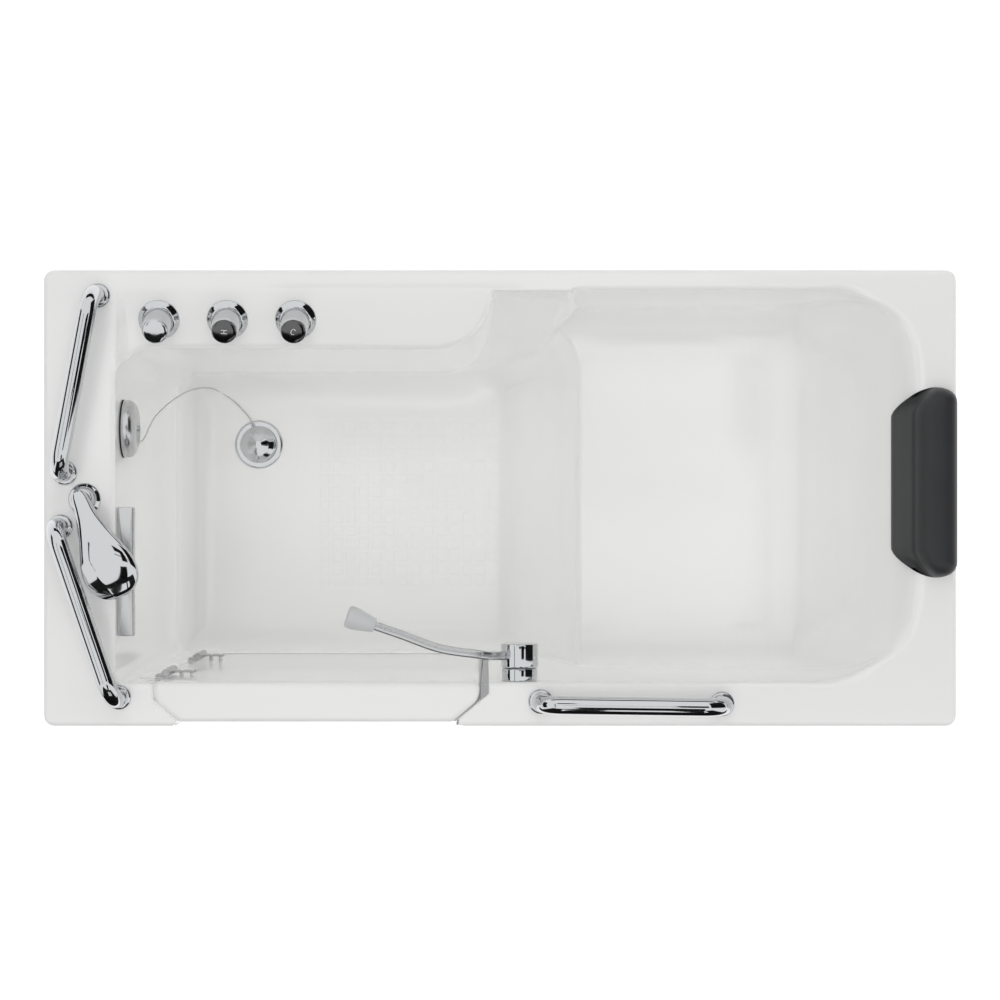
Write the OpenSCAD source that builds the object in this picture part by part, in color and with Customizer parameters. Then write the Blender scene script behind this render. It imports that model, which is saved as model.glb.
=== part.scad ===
// Walk-in bathtub with an inward-opening side door, a moulded seat, three deck
// taps, a waterfall spout, a hand shower, grab bars and a head pillow.
// Origin: centre of the tub's footprint on the floor. +X runs to the head end,
// +Y to the wall side, -Y to the door side, +Z up. Millimetres.

/* [Tub] */
// Overall length
tub_length = 1524; // [1500:1:1560]
// Overall width
tub_width = 762; // [750:1:790]
// Height of the rim above the floor
rim_height = 965; // [945:1:990]
// Thickness of the moulded shell
shell_wall = 6; // [5:0.5:8]
// Depth of the lip turned down around the rim
rim_lip = 34; // [26:1:44]
// Corner radius of the rim seen from above
rim_corner = 18; // [12:1:26]
// Width of the deck at the foot end
foot_deck = 120; // [110:1:128]
// Width of the door-side wall, from its outer to its bathing face
door_side_wall = 74.5; // [70:0.5:80]
// Width of the flat deck along the wall side
wall_side_deck = 34; // [26:1:40]
// Width of the deck at the head end
head_deck = 62; // [54:1:70]

/* [Bathing space] */
// Height of the footwell floor above the ground
well_floor = 95; // [90:1:104]
// Radius where the footwell floor meets its walls
well_fillet = 48; // [30:1:60]
// Radius of the footwell's corners seen from above
well_corner = 52; // [30:1:60]
// Radius of the two corners on the door side
door_corner = 24; // [14:1:28]
// Distance from the foot-end wall to the seat front
well_length = 786; // [750:1:820]
// How far the slanting seat front runs out from the seat down to the floor
leg_recess = 91; // [60:1:110]
// How far the wall-side wall beyond the ledge leans in from the rim to the floor
pocket_lean = 72; // [50:1:90]
// Corner radius of the seat's front edge at the wall side
pocket_corner = 111; // [90:1:125]
// Height of the seat above the ground
seat_height = 525; // [500:1:545]
// Length of the seat from its front edge to the backrest
seat_length = 425; // [400:1:440]
// Rise of the seat towards the backrest
seat_rise = 18; // [8:1:26]
// Radius of the seat's front edge
seat_nose = 34; // [20:1:44]
// Radius where the seat meets the backrest
backrest_fillet = 120; // [80:1:140]
// Radius where the seat meets its side walls
seat_side_fillet = 60; // [40:1:80]
// Corner radius at the head end on the wall side
head_corner_wall = 158; // [130:1:170]
// Corner radius at the head end on the door side
head_corner_door = 180; // [150:1:200]

/* [Tap ledge] */
// Width of the slanted ledge seen from above
ledge_width = 96; // [90:1:104]
// Slope of the ledge in degrees
ledge_slope = 24; // [20:0.5:27]
// Distance from the foot-end wall to the ledge's rounded end
ledge_length = 630; // [600:1:650]
// Radius of the ledge's rounded end
ledge_end_radius = 98; // [80:1:104]
// Distance from the foot-end wall to the first tap
tap_start = 71; // [66:1:80]
// Distance between taps
tap_pitch = 114.5; // [105:0.5:125]
// Diameter of a tap's wall flange
tap_flange_d = 69; // [62:1:78]
// Height of a tap's wall flange
tap_flange_h = 11; // [8:1:15]
// Diameter of a tap knob at its foot
tap_knob_d = 50; // [44:0.5:56]
// Diameter of a tap knob at its end face
tap_knob_end_d = 43; // [38:0.5:46]
// Length of a tap knob
tap_knob_h = 46; // [38:1:54]
// Thickness of a tap knob's end disc
tap_disc_h = 3; // [2:0.5:5]
// Diameter of a valve's threaded shank
valve_shank_d = 27; // [24:0.5:30]
// Diameter of a valve body
valve_body_d = 38; // [34:1:44]
// Length of a valve body below the ledge
valve_body_h = 66; // [58:1:76]
// Outside diameter of the supply and mixed-water pipes
pipe_d = 15; // [12:1:18]
// Height of the open ends of the supply pipes above the ground
supply_end = 190; // [150:1:240]
// Length of a supply pipe's plain end, for its coupling
supply_tail = 60; // [50:1:80]

/* [Door] */
// Distance from the foot-end wall to the door's hinge edge
door_start = 63.5; // [60:0.5:68]
// Width of the door
door_width = 544.5; // [520:0.5:560]
// Thickness of the door
door_thickness = 67; // [60:0.5:68]
// Height of the door's lower edge above the ground
door_bottom = 180; // [160:1:200]
// Length of the door's slanted edge seen from above
mitre_length = 45; // [38:1:50]
// Depth of the door's slanted edge
mitre_depth = 38; // [30:1:44]
// Thickness of the door's two moulded skins
door_skin = 5; // [4:0.5:7]
// Gap between door and jamb on the hinge side
hinge_side_gap = 6; // [4:0.5:8]
// Gap between door and jamb on the lever side
lever_side_gap = 15; // [11:0.5:17]
// Gap between the door's slanted edge and the jamb
mitre_gap = 2.4; // [2:0.2:4]
// Gap between the door's lower edge and the sill
sill_gap = 7; // [5:0.5:9]
// Width of the flat frame moulded around the doorway
frame_band = 44; // [36:1:50]
// Running clearance between the door and its seal
seal_clearance = 0.5; // [0.4:0.1:1]
// Extra room outside the door's lower edge, so that it swings clear of its seal
seal_swing = 3; // [2.5:0.5:5]
// Thickness of the stainless strip on the sill
sill_strip = 1.5; // [1:0.5:2.5]
// Thickness of the stiffening core in the door
door_core_depth = 24; // [18:1:30]

/* [Hinges] */
// Diameter of a hinge barrel
barrel_d = 14; // [12:0.5:16]
// Diameter of a hinge pin
hinge_pin_d = 7; // [6:0.5:8]
// Radial running clearance of the door leaf on the pin
hinge_clearance = 0.06; // [0.05:0.01:0.1]
// Height of a hinge
hinge_height = 106; // [96:1:116]
// Distance of the pin from the door's hinge edge
hinge_inset = 11.5; // [10:0.5:13]
// Distance of the pin in front of the door's bathing face
hinge_offset = 9.5; // [8.5:0.5:11]
// Thickness of a hinge leaf
leaf_t = 2.5; // [2:0.5:3]
// Width of a door leaf
door_leaf_w = 46; // [40:1:54]
// Width of a jamb leaf
jamb_leaf_w = 26; // [20:1:32]
// Height of the upper hinge's lower end
upper_hinge_z = 780; // [740:1:820]
// Height of the lower hinge's lower end
lower_hinge_z = 326; // [280:1:360]
// Diameter of a hinge screw's head
screw_head_d = 7; // [6:0.5:8]

/* [Lever] */
// Distance of the lever's axis from the door's lever edge
lever_offset = 67; // [60:1:75]
// Distance of the lever's axis below the rim
lever_drop = 34; // [33:1:40]
// Diameter of the lever's base
lever_base_d = 60; // [54:1:64]
// Length of the lever's base
lever_base_h = 21; // [16:1:26]
// Diameter of the lever's hub
lever_hub_d = 63; // [56:1:66]
// Length of the lever's hub
lever_hub_h = 41; // [36:1:46]
// Gap between the hub and its base
lever_seam = 0.8; // [0.5:0.1:1.5]
// Diameter of the lever's spindle
lever_spindle_d = 12; // [10:0.5:14]
// Width of the lever's arm
lever_arm_w = 15; // [12:0.5:18]
// Thickness of the lever's arm
lever_arm_t = 10; // [8:0.5:12]
// Height of the arm's outer run above the rim
lever_arm_rise = 19; // [16:0.5:24]
// Reach of the arm from the lever's axis to the grip
lever_reach = 240; // [225:1:255]
// How far the arm's outer end stands off the foot of the hub
lever_sweep = 73; // [66:1:80]
// Diameter of the grip at its fat end
lever_grip_d = 38; // [32:1:42]
// Length of the grip
lever_grip_l = 50; // [44:1:58]

/* [Grab bars] */
// Diameter of the grab bars
bar_d = 30; // [26:1:34]
// Distance from the lever's axis to the door-side grab bar
door_bar_start = 35; // [33:1:50]
// Distance between the feet of the door-side grab bar
door_bar_span = 302; // [280:1:320]
// Distance of the door-side grab bar from the tub's edge
door_bar_inset = 42; // [38:1:46]
// Distance of the wall-side grab bar's outer foot from the tub's centre line
wall_bar_end = 42; // [36:1:60]
// Distance of the foot-end grab bar's outer foot from the tub's centre line
foot_bar_start = 48; // [40:1:60]
// Wall thickness of a grab bar's tube
bar_wall = 2; // [1.5:0.5:3]
// Height of a grab bar's axis above the deck
bar_rise = 76; // [66:1:86]
// Bending radius of a grab bar
bar_bend = 38; // [34:1:44]
// Diameter of the ring at a grab bar's foot
bar_ring_d = 42; // [39:1:46]
// Height of the ring at a grab bar's foot
bar_ring_h = 6; // [4:1:9]
// Diameter of the stud that fixes a grab bar
bar_stud_d = 10; // [8:1:12]

/* [Spout and overflow] */
// Length of the waterfall spout
spout_length = 217; // [190:1:240]
// Reach of the waterfall spout from the wall
spout_reach = 28; // [24:1:32]
// Thickness of the waterfall spout
spout_height = 20; // [16:1:24]
// Height of the slot the water falls from
spout_slot = 3.4; // [2.5:0.1:3.8]
// Distance of the spout's middle from the tub's centre line, towards the door
spout_offset = 123.5; // [110:0.5:135]
// Distance of the spout's middle below the rim
spout_drop = 35; // [28:1:45]
// Diameter of the overflow cover
overflow_d = 98; // [86:1:104]
// Depth of the overflow cover
overflow_h = 26; // [20:1:30]
// Distance of the overflow from the tub's centre line, towards the wall side
overflow_offset = 118; // [110:1:124]
// Distance of the overflow below the rim
overflow_drop = 95; // [88:1:105]
// Bore of the overflow passage
overflow_bore = 40; // [34:1:44]
// Outside diameter of the overflow pipe
overflow_pipe_d = 38; // [32:1:40]

/* [Drain] */
// Distance from the foot-end wall to the drain
drain_start = 159; // [150:1:170]
// Distance of the drain from the tub's centre line, towards the wall side
drain_offset = 108; // [100:1:118]
// Diameter of the drain flange
drain_flange_d = 97; // [88:1:104]
// Thickness of the drain flange
drain_flange_h = 3; // [2:0.5:5]
// Bore of the drain
drain_bore = 44; // [40:1:48]
// Diameter of the waste tailpiece
tailpiece_d = 38.1; // [36:0.1:40]
// Height of the tailpiece's open end above the ground
tailpiece_end = 8; // [6:1:16]
// Diameter of the stopper cap
stopper_d = 74; // [68:1:80]
// Height of the stopper cap
stopper_h = 9; // [7:1:12]
// Diameter of the stopper's cord
cord_d = 3; // [2.5:0.5:4]

/* [Hand shower] */
// Distance of the holder from the foot-end edge of the tub
holder_inset = 70; // [66:1:76]
// Diameter of the holder's foot
holder_d = 54; // [48:1:58]
// Height of the holder's collar above the deck
holder_h = 34; // [28:1:42]
// Diameter of the handset's shank
shank_d = 24; // [20:1:26]
// Radial clearance of the shank in its holder
shank_clearance = 0.4; // [0.3:0.1:0.8]
// Diameter of the handset's spray face
spray_face_d = 70; // [60:1:76]

/* [Pillow] */
// Length of the pillow across the tub
pillow_length = 317; // [290:1:340]
// Distance of the pillow's middle from the tub's centre line
pillow_offset = 26; // [10:1:40]
// Thickness of the pillow's roll above the deck
pillow_height = 36; // [28:1:44]
// Reach of the pillow down the backrest
pillow_reach = 62; // [50:1:76]

/* [Frame, panels and feet] */
// Side of the frame's square tubes
tube = 25; // [20:1:26]
// Wall thickness of the square tubes
tube_wall = 2; // [1.5:0.5:3]
// Clear distance from the tub's outline to the frame
frame_inset = 13; // [12:1:18]
// Distance from the seat's front edge to its front supports
seat_post_front = 70; // [55:1:90]
// Distance from the backrest to the seat's rear supports
seat_post_back = 90; // [70:1:110]
// Thickness of the panels
panel_t = 4; // [3:0.5:5]
// Height of the panels' lower edge above the ground
panel_bottom = 46; // [38:1:56]
// Width of the removable access panel
access_width = 560; // [500:1:600]
// Height of the removable access panel
access_height = 620; // [560:1:680]
// Radial gap around the removable access panel
access_gap = 1.5; // [1:0.5:3]
// Diameter of a levelling foot's pad
pad_d = 50; // [40:1:56]
// Height of a levelling foot's pad
pad_h = 12; // [9:1:14]
// Diameter of a levelling foot's stud
stud_d = 12; // [10:1:14]
// Height of a locknut
nut_h = 9; // [7:1:11]

/* [Hidden] */

// Smoothness of true circles
round_fn = 64;
// Points on a quarter arc of a plan outline
arc_steps = 7;
// How far cutting bodies run past the faces they cut
cut = 10;
// Clearance of a rigid piece laid beside another body
touch = 0.3;

// Colours as seen: white gel coat, chrome, brass, rubber, foam
white = [0.92, 0.92, 0.92];
chrome = [0.78, 0.79, 0.81];
brass = [0.72, 0.58, 0.30];
steel = [0.55, 0.57, 0.60];
rubber = [0.55, 0.56, 0.57];
black = [0.10, 0.10, 0.11];
foam = [0.20, 0.20, 0.21];

// Outline of the tub
foot_x = -tub_length / 2;
head_x = tub_length / 2;
door_y = -tub_width / 2;
back_y = tub_width / 2;

// Bathing space
well_x = foot_x + foot_deck;
seat_x = well_x + well_length;
well_door_y = door_y + door_side_wall;
basin_back_y = back_y - wall_side_deck;
well_back_y = basin_back_y - ledge_width;
basin_head_x = head_x - head_deck;
seat_back_x = seat_x + seat_length;
seat_end_z = seat_height + seat_rise;
ledge_end_x = well_x + ledge_length;
ledge_front_z = rim_height - ledge_width * tan(ledge_slope);

// Door and doorway
door_hinge_x = well_x + door_start;
door_lever_x = door_hinge_x + door_width;
door_in_y = well_door_y;
door_out_y = door_in_y - door_thickness;
mitre_y = door_out_y + mitre_depth;
sill_z = door_bottom - sill_gap;
pin_x = door_hinge_x + hinge_inset;
pin_y = door_in_y + hinge_offset;

// Lever
lever_x = door_lever_x + lever_offset;
lever_z = rim_height - lever_drop;
lever_hub_y = well_door_y + lever_base_h + lever_seam;
lever_arm_z = rim_height + lever_arm_rise;

// Drain, overflow and spout
drain_x = well_x + drain_start;
drain_y = drain_offset;
overflow_z = rim_height - overflow_drop;
overflow_y = overflow_offset;
spout_y = -spout_offset;
spout_z = rim_height - spout_drop;
spout_shank_d = 20;
spout_shank_l = 34;
riser_x = foot_x + 40;

// Hand shower
holder_x = foot_x + holder_inset;
holder_y = -2;
holder_shank_d = 34;

// Frame
frame_low = pad_h + nut_h + 16;
rail_top = frame_low + tube;
cross_top = well_floor - shell_wall;
post_x = tub_length / 2 - frame_inset - tube / 2;
post_y = tub_width / 2 - frame_inset - tube / 2;
foot_xs = [-post_x, -40, post_x];

// Grab bar feet in plan, each pair from the corner they stand beside
bar_wall_side = [[well_x - 28, basin_back_y - 10], [foot_x + 37, wall_bar_end]];
bar_foot_end = [[foot_x + 30, -foot_bar_start], [well_x + 7, door_y + 49]];
bar_door_side = [
    [lever_x + door_bar_start, door_y + door_bar_inset],
    [lever_x + door_bar_start + door_bar_span, door_y + door_bar_inset - 4]
];

// ---- Plan and profile helpers ----

// Points on an arc about c, radius r, from angle a to angle b
function arc(c, r, a, b, n = arc_steps) =
    [for (i = [0:n]) c + r * [cos(a + (b - a) * i / n), sin(a + (b - a) * i / n)]];

// A flat outline in X and Z carried along Y from y0 to y1
module along_y(y0, y1) {
    translate([0, y1, 0])
        rotate([90, 0, 0])
            linear_extrude(height = y1 - y0) children();
}

// A flat outline in Y and Z carried along X from x0 to x1
module along_x(x0, x1) {
    translate([x0, 0, 0])
        rotate([90, 0, 90])
            linear_extrude(height = x1 - x0) children();
}

// A piece turned so that its Z axis runs from p to q
module aimed(p, q) {
    v = q - p;
    translate(p)
        rotate([0, acos(v.z / norm(v)), atan2(v.y, v.x)]) children();
}

// A straight round bar from p to q
module bar_between(p, q, d) {
    aimed(p, q) cylinder(d = d, h = norm(q - p), $fn = round_fn);
}

// A box between two corners
module block(low, high) {
    translate(low) cube(high - low);
}

// A closed skin over a list of rings with equal counts of points
module skin(rings) {
    n = len(rings[0]);
    m = len(rings);
    sides = [
        for (i = [0:m - 2], j = [0:n - 1], h = [0, 1])
            h == 0
                ? [i * n + j, (i + 1) * n + j, (i + 1) * n + (j + 1) % n]
                : [i * n + j, (i + 1) * n + (j + 1) % n, i * n + (j + 1) % n]
    ];
    low_end = [for (j = [0:n - 1]) j];
    high_end = [for (j = [n - 1:-1:0]) (m - 1) * n + j];
    polyhedron(
        points = [for (r = rings) each r],
        faces = concat(sides, [low_end], [high_end])
    );
}

// ---- The bathing space, grown outwards by g ----

// Footwell: plan outline
function well_plan(g) = concat(
    arc([well_x + door_corner, well_door_y + door_corner], door_corner + g, 180, 270),
    arc([seat_x - door_corner, well_door_y + door_corner], door_corner + g, 270, 360),
    arc([seat_x - well_corner, well_back_y - well_corner], well_corner + g, 0, 90),
    arc([well_x + well_corner, well_back_y - well_corner], well_corner + g, 90, 180)
);

// A trough outline: an open-topped profile with rounded lower corners
function trough(a, b, floor_z, r, g, top) = concat(
    [[b + g, top], [a - g, top]],
    arc([a + r, floor_z + r], r + g, 180, 270),
    arc([b - r, floor_z + r], r + g, 270, 360)
);

// The rounded foot of a wall that leans out from the floor at x = b: it rises h
// over a run of l, and ends at height z
function leaning_wall(b, l, h, floor_z, r, g, z) =
    let (slope = atan2(h, l), x0 = b - r * tan(slope / 2))
    concat(
        arc([x0, floor_z + r], r + g, 270, 270 + slope),
        [[b + g / sin(slope) + (z - floor_z) * l / h, z]]
    );

// The footwell's side profile: an upright foot-end wall and a slanting seat front
function well_profile(g, top) = concat(
    [[seat_x + g, top], [well_x - g, top]],
    arc([well_x + well_fillet, well_floor + well_fillet], well_fillet + g, 180, 270),
    leaning_wall(
        seat_x - leg_recess, leg_recess, seat_height - well_floor, well_floor, well_fillet,
        g, seat_height
    )
);

module well_space(g) {
    top = rim_height + (g > 0 ? 0 : cut);
    intersection() {
        translate([0, 0, well_floor - g - 1])
            linear_extrude(height = top - well_floor + g + 1) polygon(well_plan(g));
        along_y(door_y, back_y) polygon(well_profile(g, top));
        along_x(foot_x, head_x)
            polygon(trough(well_door_y, well_back_y, well_floor, well_fillet, g, top));
    }
}

// How far the space over the seat reaches into the space over the footwell
seat_overlap = 40;

// Seat and backrest: plan outline, open towards the footwell
function seat_plan(g) = concat(
    [[seat_x - seat_overlap, basin_back_y + g], [seat_x - seat_overlap, well_door_y - g]],
    arc(
        [basin_head_x - head_corner_door, well_door_y + head_corner_door],
        head_corner_door + g, 270, 360
    ),
    arc(
        [basin_head_x - head_corner_wall, basin_back_y - head_corner_wall],
        head_corner_wall + g, 0, 90
    )
);

// Seat and backrest: side profile, a rounded seat edge, a gentle rise and a
// leaning back
function seat_profile(g, top) = concat(
    [[basin_head_x + g, top], [seat_x - seat_nose - 30, top]],
    [[seat_x - seat_nose - 30, seat_height - g]],
    arc([seat_x + seat_nose, seat_height - seat_nose], max(seat_nose - g, 1), 135, 90, 4),
    [for (i = [0:arc_steps])
        let (t = i / arc_steps)
        let (p0 = [seat_back_x - backrest_fillet, seat_end_z - 6])
        let (p1 = [seat_back_x + 12, seat_end_z])
        let (p2 = [seat_back_x + 44, seat_end_z + backrest_fillet])
        (1 - t) * (1 - t) * p0 + 2 * t * (1 - t) * p1 + t * t * p2
            + g * [sin(80 * t), -cos(80 * t)]
    ],
    [[basin_head_x - 12 + g, rim_height - 40], [basin_head_x + g, rim_height - 12]]
);

module seat_space(g) {
    top = rim_height + (g > 0 ? 0 : cut);
    intersection() {
        translate([0, 0, seat_height - seat_nose - g - 20])
            linear_extrude(height = top - seat_height + seat_nose + g + 20)
                polygon(seat_plan(g));
        along_y(door_y, back_y) polygon(seat_profile(g, top));
        along_x(foot_x, head_x)
            polygon(trough(
                well_door_y, basin_back_y, seat_height - 2, seat_side_fillet, g, top
            ));
    }
}

// Plan of the pocket between the ledge's rounded end and the seat's rounded corner
function pocket_plan(g) = concat(
    [[ledge_end_x - ledge_end_radius - 30, well_back_y - 60], [seat_x - 1, well_back_y - 60]],
    arc([seat_x - pocket_corner, well_back_y - 26], pocket_corner + g - 1, 0, 50),
    [[seat_x - seat_overlap + 2, basin_back_y + g]],
    arc(
        [ledge_end_x - ledge_end_radius, basin_back_y + g],
        ledge_end_radius - g, 0, -90
    ),
    [[ledge_end_x - ledge_end_radius - 30, basin_back_y + 2 * g - ledge_end_radius]]
);

// The pocket: the footwell goes back here to a wall that leans out up to the rim
module pocket_space(g) {
    top = rim_height + (g > 0 ? 0 : cut);
    lean_top = rim_height - 14;
    intersection() {
        translate([0, 0, well_floor - g - 1])
            linear_extrude(height = top - well_floor + g + 1) polygon(pocket_plan(g));
        along_y(door_y, back_y) polygon(well_profile(g, top));
        along_x(foot_x, head_x)
            polygon(concat(
                [[well_back_y - 70, top], [well_back_y - 70, well_floor - g]],
                leaning_wall(
                    basin_back_y - pocket_lean, pocket_lean, lean_top - well_floor,
                    well_floor, well_fillet, g, lean_top
                ),
                [[basin_back_y + g, top]]
            ));
    }
}

// Relief above the slanted ledge that carries the taps
module ledge_space(g) {
    top = rim_height + (g > 0 ? 0 : cut);
    drop = g / cos(ledge_slope);
    along_x(well_x + 8 - g, ledge_end_x - ledge_end_radius + 1)
        polygon([
            [well_back_y - 20, ledge_front_z - 20 * tan(ledge_slope) - drop],
            [well_back_y, ledge_front_z - drop],
            [basin_back_y, rim_height - drop],
            [basin_back_y + g, rim_height - (g > 0 ? 1 : 0)],
            [basin_back_y + g, top],
            [well_back_y - 20, top]
        ]);
    intersection() {
        along_x(ledge_end_x - ledge_end_radius, ledge_end_x - g)
            polygon([
                [well_back_y - 20, ledge_front_z - 20 * tan(ledge_slope) - drop],
                [basin_back_y, rim_height - drop],
                [basin_back_y, top],
                [well_back_y - 20, top]
            ]);
        translate([ledge_end_x - ledge_end_radius, basin_back_y, 0])
            cylinder(r = ledge_end_radius + 2 * g, h = rim_height + cut, $fn = round_fn);
    }
}

module bathing_space(g) {
    well_space(g);
    seat_space(g);
    pocket_space(g);
    ledge_space(g);
}

// ---- Doorway outlines ----

// Height of the slanted edge's line in plan, at x, moved outwards by g;
// side is -1 on the hinge side and 1 on the lever side
function mitre_line_y(x, side, g) =
    let (edge_x = side < 0 ? door_hinge_x : door_lever_x)
    let (slope = mitre_depth / mitre_length)
    let (shift = g * norm([mitre_depth, mitre_length]) / mitre_length)
    mitre_y - shift + (side * (x - edge_x)) * slope;

// Where that line reaches a given y
function mitre_line_x(y, side, g) =
    let (edge_x = side < 0 ? door_hinge_x : door_lever_x)
    let (slope = mitre_depth / mitre_length)
    let (shift = g * norm([mitre_depth, mitre_length]) / mitre_length)
    edge_x + side * (y - mitre_y + shift) / slope;

// Door outline seen from above
function door_plan() = [
    [door_hinge_x, door_in_y],
    [door_hinge_x, mitre_y],
    [door_hinge_x + mitre_length, door_out_y],
    [door_lever_x - mitre_length, door_out_y],
    [door_lever_x, mitre_y],
    [door_lever_x, door_in_y]
];

// Doorway outline seen from above: hg, lg and mg are the gaps on the hinge side,
// the lever side and the slanted edges
function doorway_plan(hg, lg, mg, in_y, out_y) =
    let (hx = door_hinge_x - hg, lx = door_lever_x + lg)
    let (nose_y = door_out_y + 1)
    [
        [hx, in_y],
        [hx, mitre_line_y(hx, -1, mg)],
        [mitre_line_x(nose_y, -1, mg), nose_y],
        [mitre_line_x(nose_y, -1, mg) + 8, out_y],
        [mitre_line_x(nose_y, 1, mg) - 8, out_y],
        [mitre_line_x(nose_y, 1, mg), nose_y],
        [lx, mitre_line_y(lx, 1, mg)],
        [lx, in_y]
    ];

module doorway_cut() {
    translate([0, 0, sill_z])
        linear_extrude(height = rim_height - sill_z + cut)
            polygon(doorway_plan(
                hinge_side_gap, lever_side_gap, mitre_gap, well_door_y + 1, door_y - cut
            ));
}

// ---- Tub shell ----

// Rim outline seen from above, drawn in by g
function rim_plan(g) = concat(
    arc([foot_x + rim_corner, door_y + rim_corner], rim_corner - g, 180, 270, 4),
    arc([head_x - rim_corner, door_y + rim_corner], rim_corner - g, 270, 360, 4),
    arc([head_x - rim_corner, back_y - rim_corner], rim_corner - g, 0, 90, 4),
    arc([foot_x + rim_corner, back_y - rim_corner], rim_corner - g, 90, 180, 4)
);

// Places one tap's parts: Z is square to the ledge, 0 on its surface
module on_ledge(i) {
    y = well_back_y + ledge_width / 2;
    translate([
        well_x + tap_start + i * tap_pitch,
        y,
        rim_height - (basin_back_y - y) * tan(ledge_slope)
    ])
        rotate([ledge_slope, 0, 0]) children();
}

module tub_shell() {
    color(white)
    difference() {
        union() {
            difference() {
                bathing_space(shell_wall);
                translate([0, 0, rim_height])
                    block([foot_x, door_y, 0], [head_x, back_y, 2 * cut]);
            }
            translate([0, 0, rim_height - shell_wall])
                linear_extrude(height = shell_wall) polygon(rim_plan(0));
            difference() {
                translate([0, 0, rim_height - rim_lip])
                    linear_extrude(height = rim_lip - 1) polygon(rim_plan(0));
                translate([0, 0, rim_height - rim_lip - 1])
                    linear_extrude(height = rim_lip + 1) polygon(rim_plan(shell_wall));
            }
            // Moulded frame around the doorway: front band and jamb lining
            block(
                [door_hinge_x - frame_band, door_y, sill_z - frame_band],
                [door_lever_x + frame_band, door_y + shell_wall, rim_height]
            );
            translate([0, 0, sill_z - shell_wall])
                linear_extrude(height = rim_height - sill_z + shell_wall)
                    polygon(doorway_plan(
                        hinge_side_gap + shell_wall, lever_side_gap + shell_wall,
                        mitre_gap + shell_wall, well_door_y, door_y + 1
                    ));
        }
        bathing_space(0);
        doorway_cut();
        for (i = [0:2])
            on_ledge(i)
                translate([0, 0, -40]) cylinder(d = valve_shank_d + 1, h = 60, $fn = round_fn);
        translate([drain_x, drain_y, 0])
            cylinder(d = drain_bore + 8, h = well_floor + cut, $fn = round_fn);
        translate([well_x - 40, overflow_y, overflow_z])
            rotate([0, 90, 0]) cylinder(d = overflow_bore, h = 60, $fn = round_fn);
        translate([well_x - 40, spout_y, spout_z])
            rotate([0, 90, 0]) cylinder(d = spout_shank_d + 1, h = 60, $fn = round_fn);
        translate([holder_x, holder_y, rim_height - 40])
            cylinder(d = holder_shank_d + 1, h = 60, $fn = round_fn);
        translate([lever_x, well_door_y + cut, lever_z])
            rotate([90, 0, 0])
                cylinder(d = lever_spindle_d + 2, h = 2 * cut + shell_wall, $fn = round_fn);
        for (bar = [bar_wall_side, bar_foot_end, bar_door_side], p = bar)
            translate([p.x, p.y, rim_height - 40])
                cylinder(d = bar_stud_d + 0.6, h = 60, $fn = round_fn);
    }
}

// ---- Panels ----

panel_out_y = door_y + shell_wall + touch;
panel_top = rim_height - shell_wall - 8;
access_x = door_lever_x + frame_band + 42;
access_z = panel_bottom + 60;
screw_inset = 26;
screw_head = 9;
screw_d = 4.8;

// Centres of the access panel's screws, in X and Z
function access_screws() = [
    for (sx = [screw_inset, access_width / 2, access_width - screw_inset],
         sz = [screw_inset, access_height - screw_inset])
        [access_x + sx, access_z + sz]
];

// Room at the panels' upper corners for the rounded corners of the rim's lip
module lip_corners() {
    for (x = [foot_x, head_x], y = [door_y, back_y])
        block(
            [x - rim_corner, y - rim_corner, rim_height - rim_lip - touch],
            [x + rim_corner, y + rim_corner, rim_height]
        );
}

module front_panel() {
    color(white)
    difference() {
        block(
            [foot_x + shell_wall + touch, panel_out_y, panel_bottom],
            [head_x - shell_wall - touch, panel_out_y + panel_t, panel_top]
        );
        lip_corners();
        block(
            [door_hinge_x - frame_band + 12, door_y - cut, sill_z - frame_band + 12],
            [door_lever_x + frame_band - 12, well_door_y, rim_height]
        );
        block(
            [access_x + 18, door_y - cut, access_z + 18],
            [access_x + access_width - 18, well_door_y, access_z + access_height - 18]
        );
        for (s = access_screws())
            translate([s.x, door_y - cut, s.y])
                rotate([-90, 0, 0]) cylinder(d = 5, h = 40, $fn = round_fn);
    }
}

module access_panel() {
    color(white)
    difference() {
        block(
            [access_x, panel_out_y - panel_t, access_z],
            [access_x + access_width, panel_out_y, access_z + access_height]
        );
        for (s = access_screws())
            translate([s.x, door_y - cut, s.y])
                rotate([-90, 0, 0]) cylinder(d = 5, h = 40, $fn = round_fn);
    }
}

module panel_screws() {
    color(chrome)
    for (s = access_screws())
        translate([s.x, panel_out_y - panel_t, s.y])
            rotate([-90, 0, 0]) {
                translate([0, 0, -2]) cylinder(d = screw_head, h = 2, $fn = round_fn);
                cylinder(d = screw_d, h = 2 * panel_t, $fn = round_fn);
            }
}

module end_panel(x0) {
    color(white)
    difference() {
        block(
            [x0, door_y + shell_wall + panel_t + 2 * touch, panel_bottom],
            [x0 + panel_t, back_y - shell_wall - touch, panel_top]
        );
        lip_corners();
    }
}
module foot_end_panel() { end_panel(foot_x + shell_wall + touch); }
module head_end_panel() { end_panel(head_x - shell_wall - touch - panel_t); }

// ---- Steel frame and levelling feet ----

// A square tube of length l along X, its lower corner at the origin
module square_tube(l) {
    rotate([90, 0, 90])
        linear_extrude(height = l)
            difference() {
                square(tube);
                translate([tube_wall, tube_wall]) square(tube - 2 * tube_wall);
            }
}

module frame_rails() {
    color(steel)
    for (y = [-post_y, post_y])
        translate([-post_x - tube / 2, y - tube / 2, frame_low])
            difference() {
                square_tube(2 * post_x + tube);
                for (x = foot_xs)
                    translate([x + post_x + tube / 2, tube / 2, -cut])
                        cylinder(d = stud_d + 0.6, h = tube + 2 * cut, $fn = round_fn);
            }
}

cross_xs = [-post_x + tube + touch, drain_x + 110, seat_x - leg_recess - 50, post_x - 34];

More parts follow.
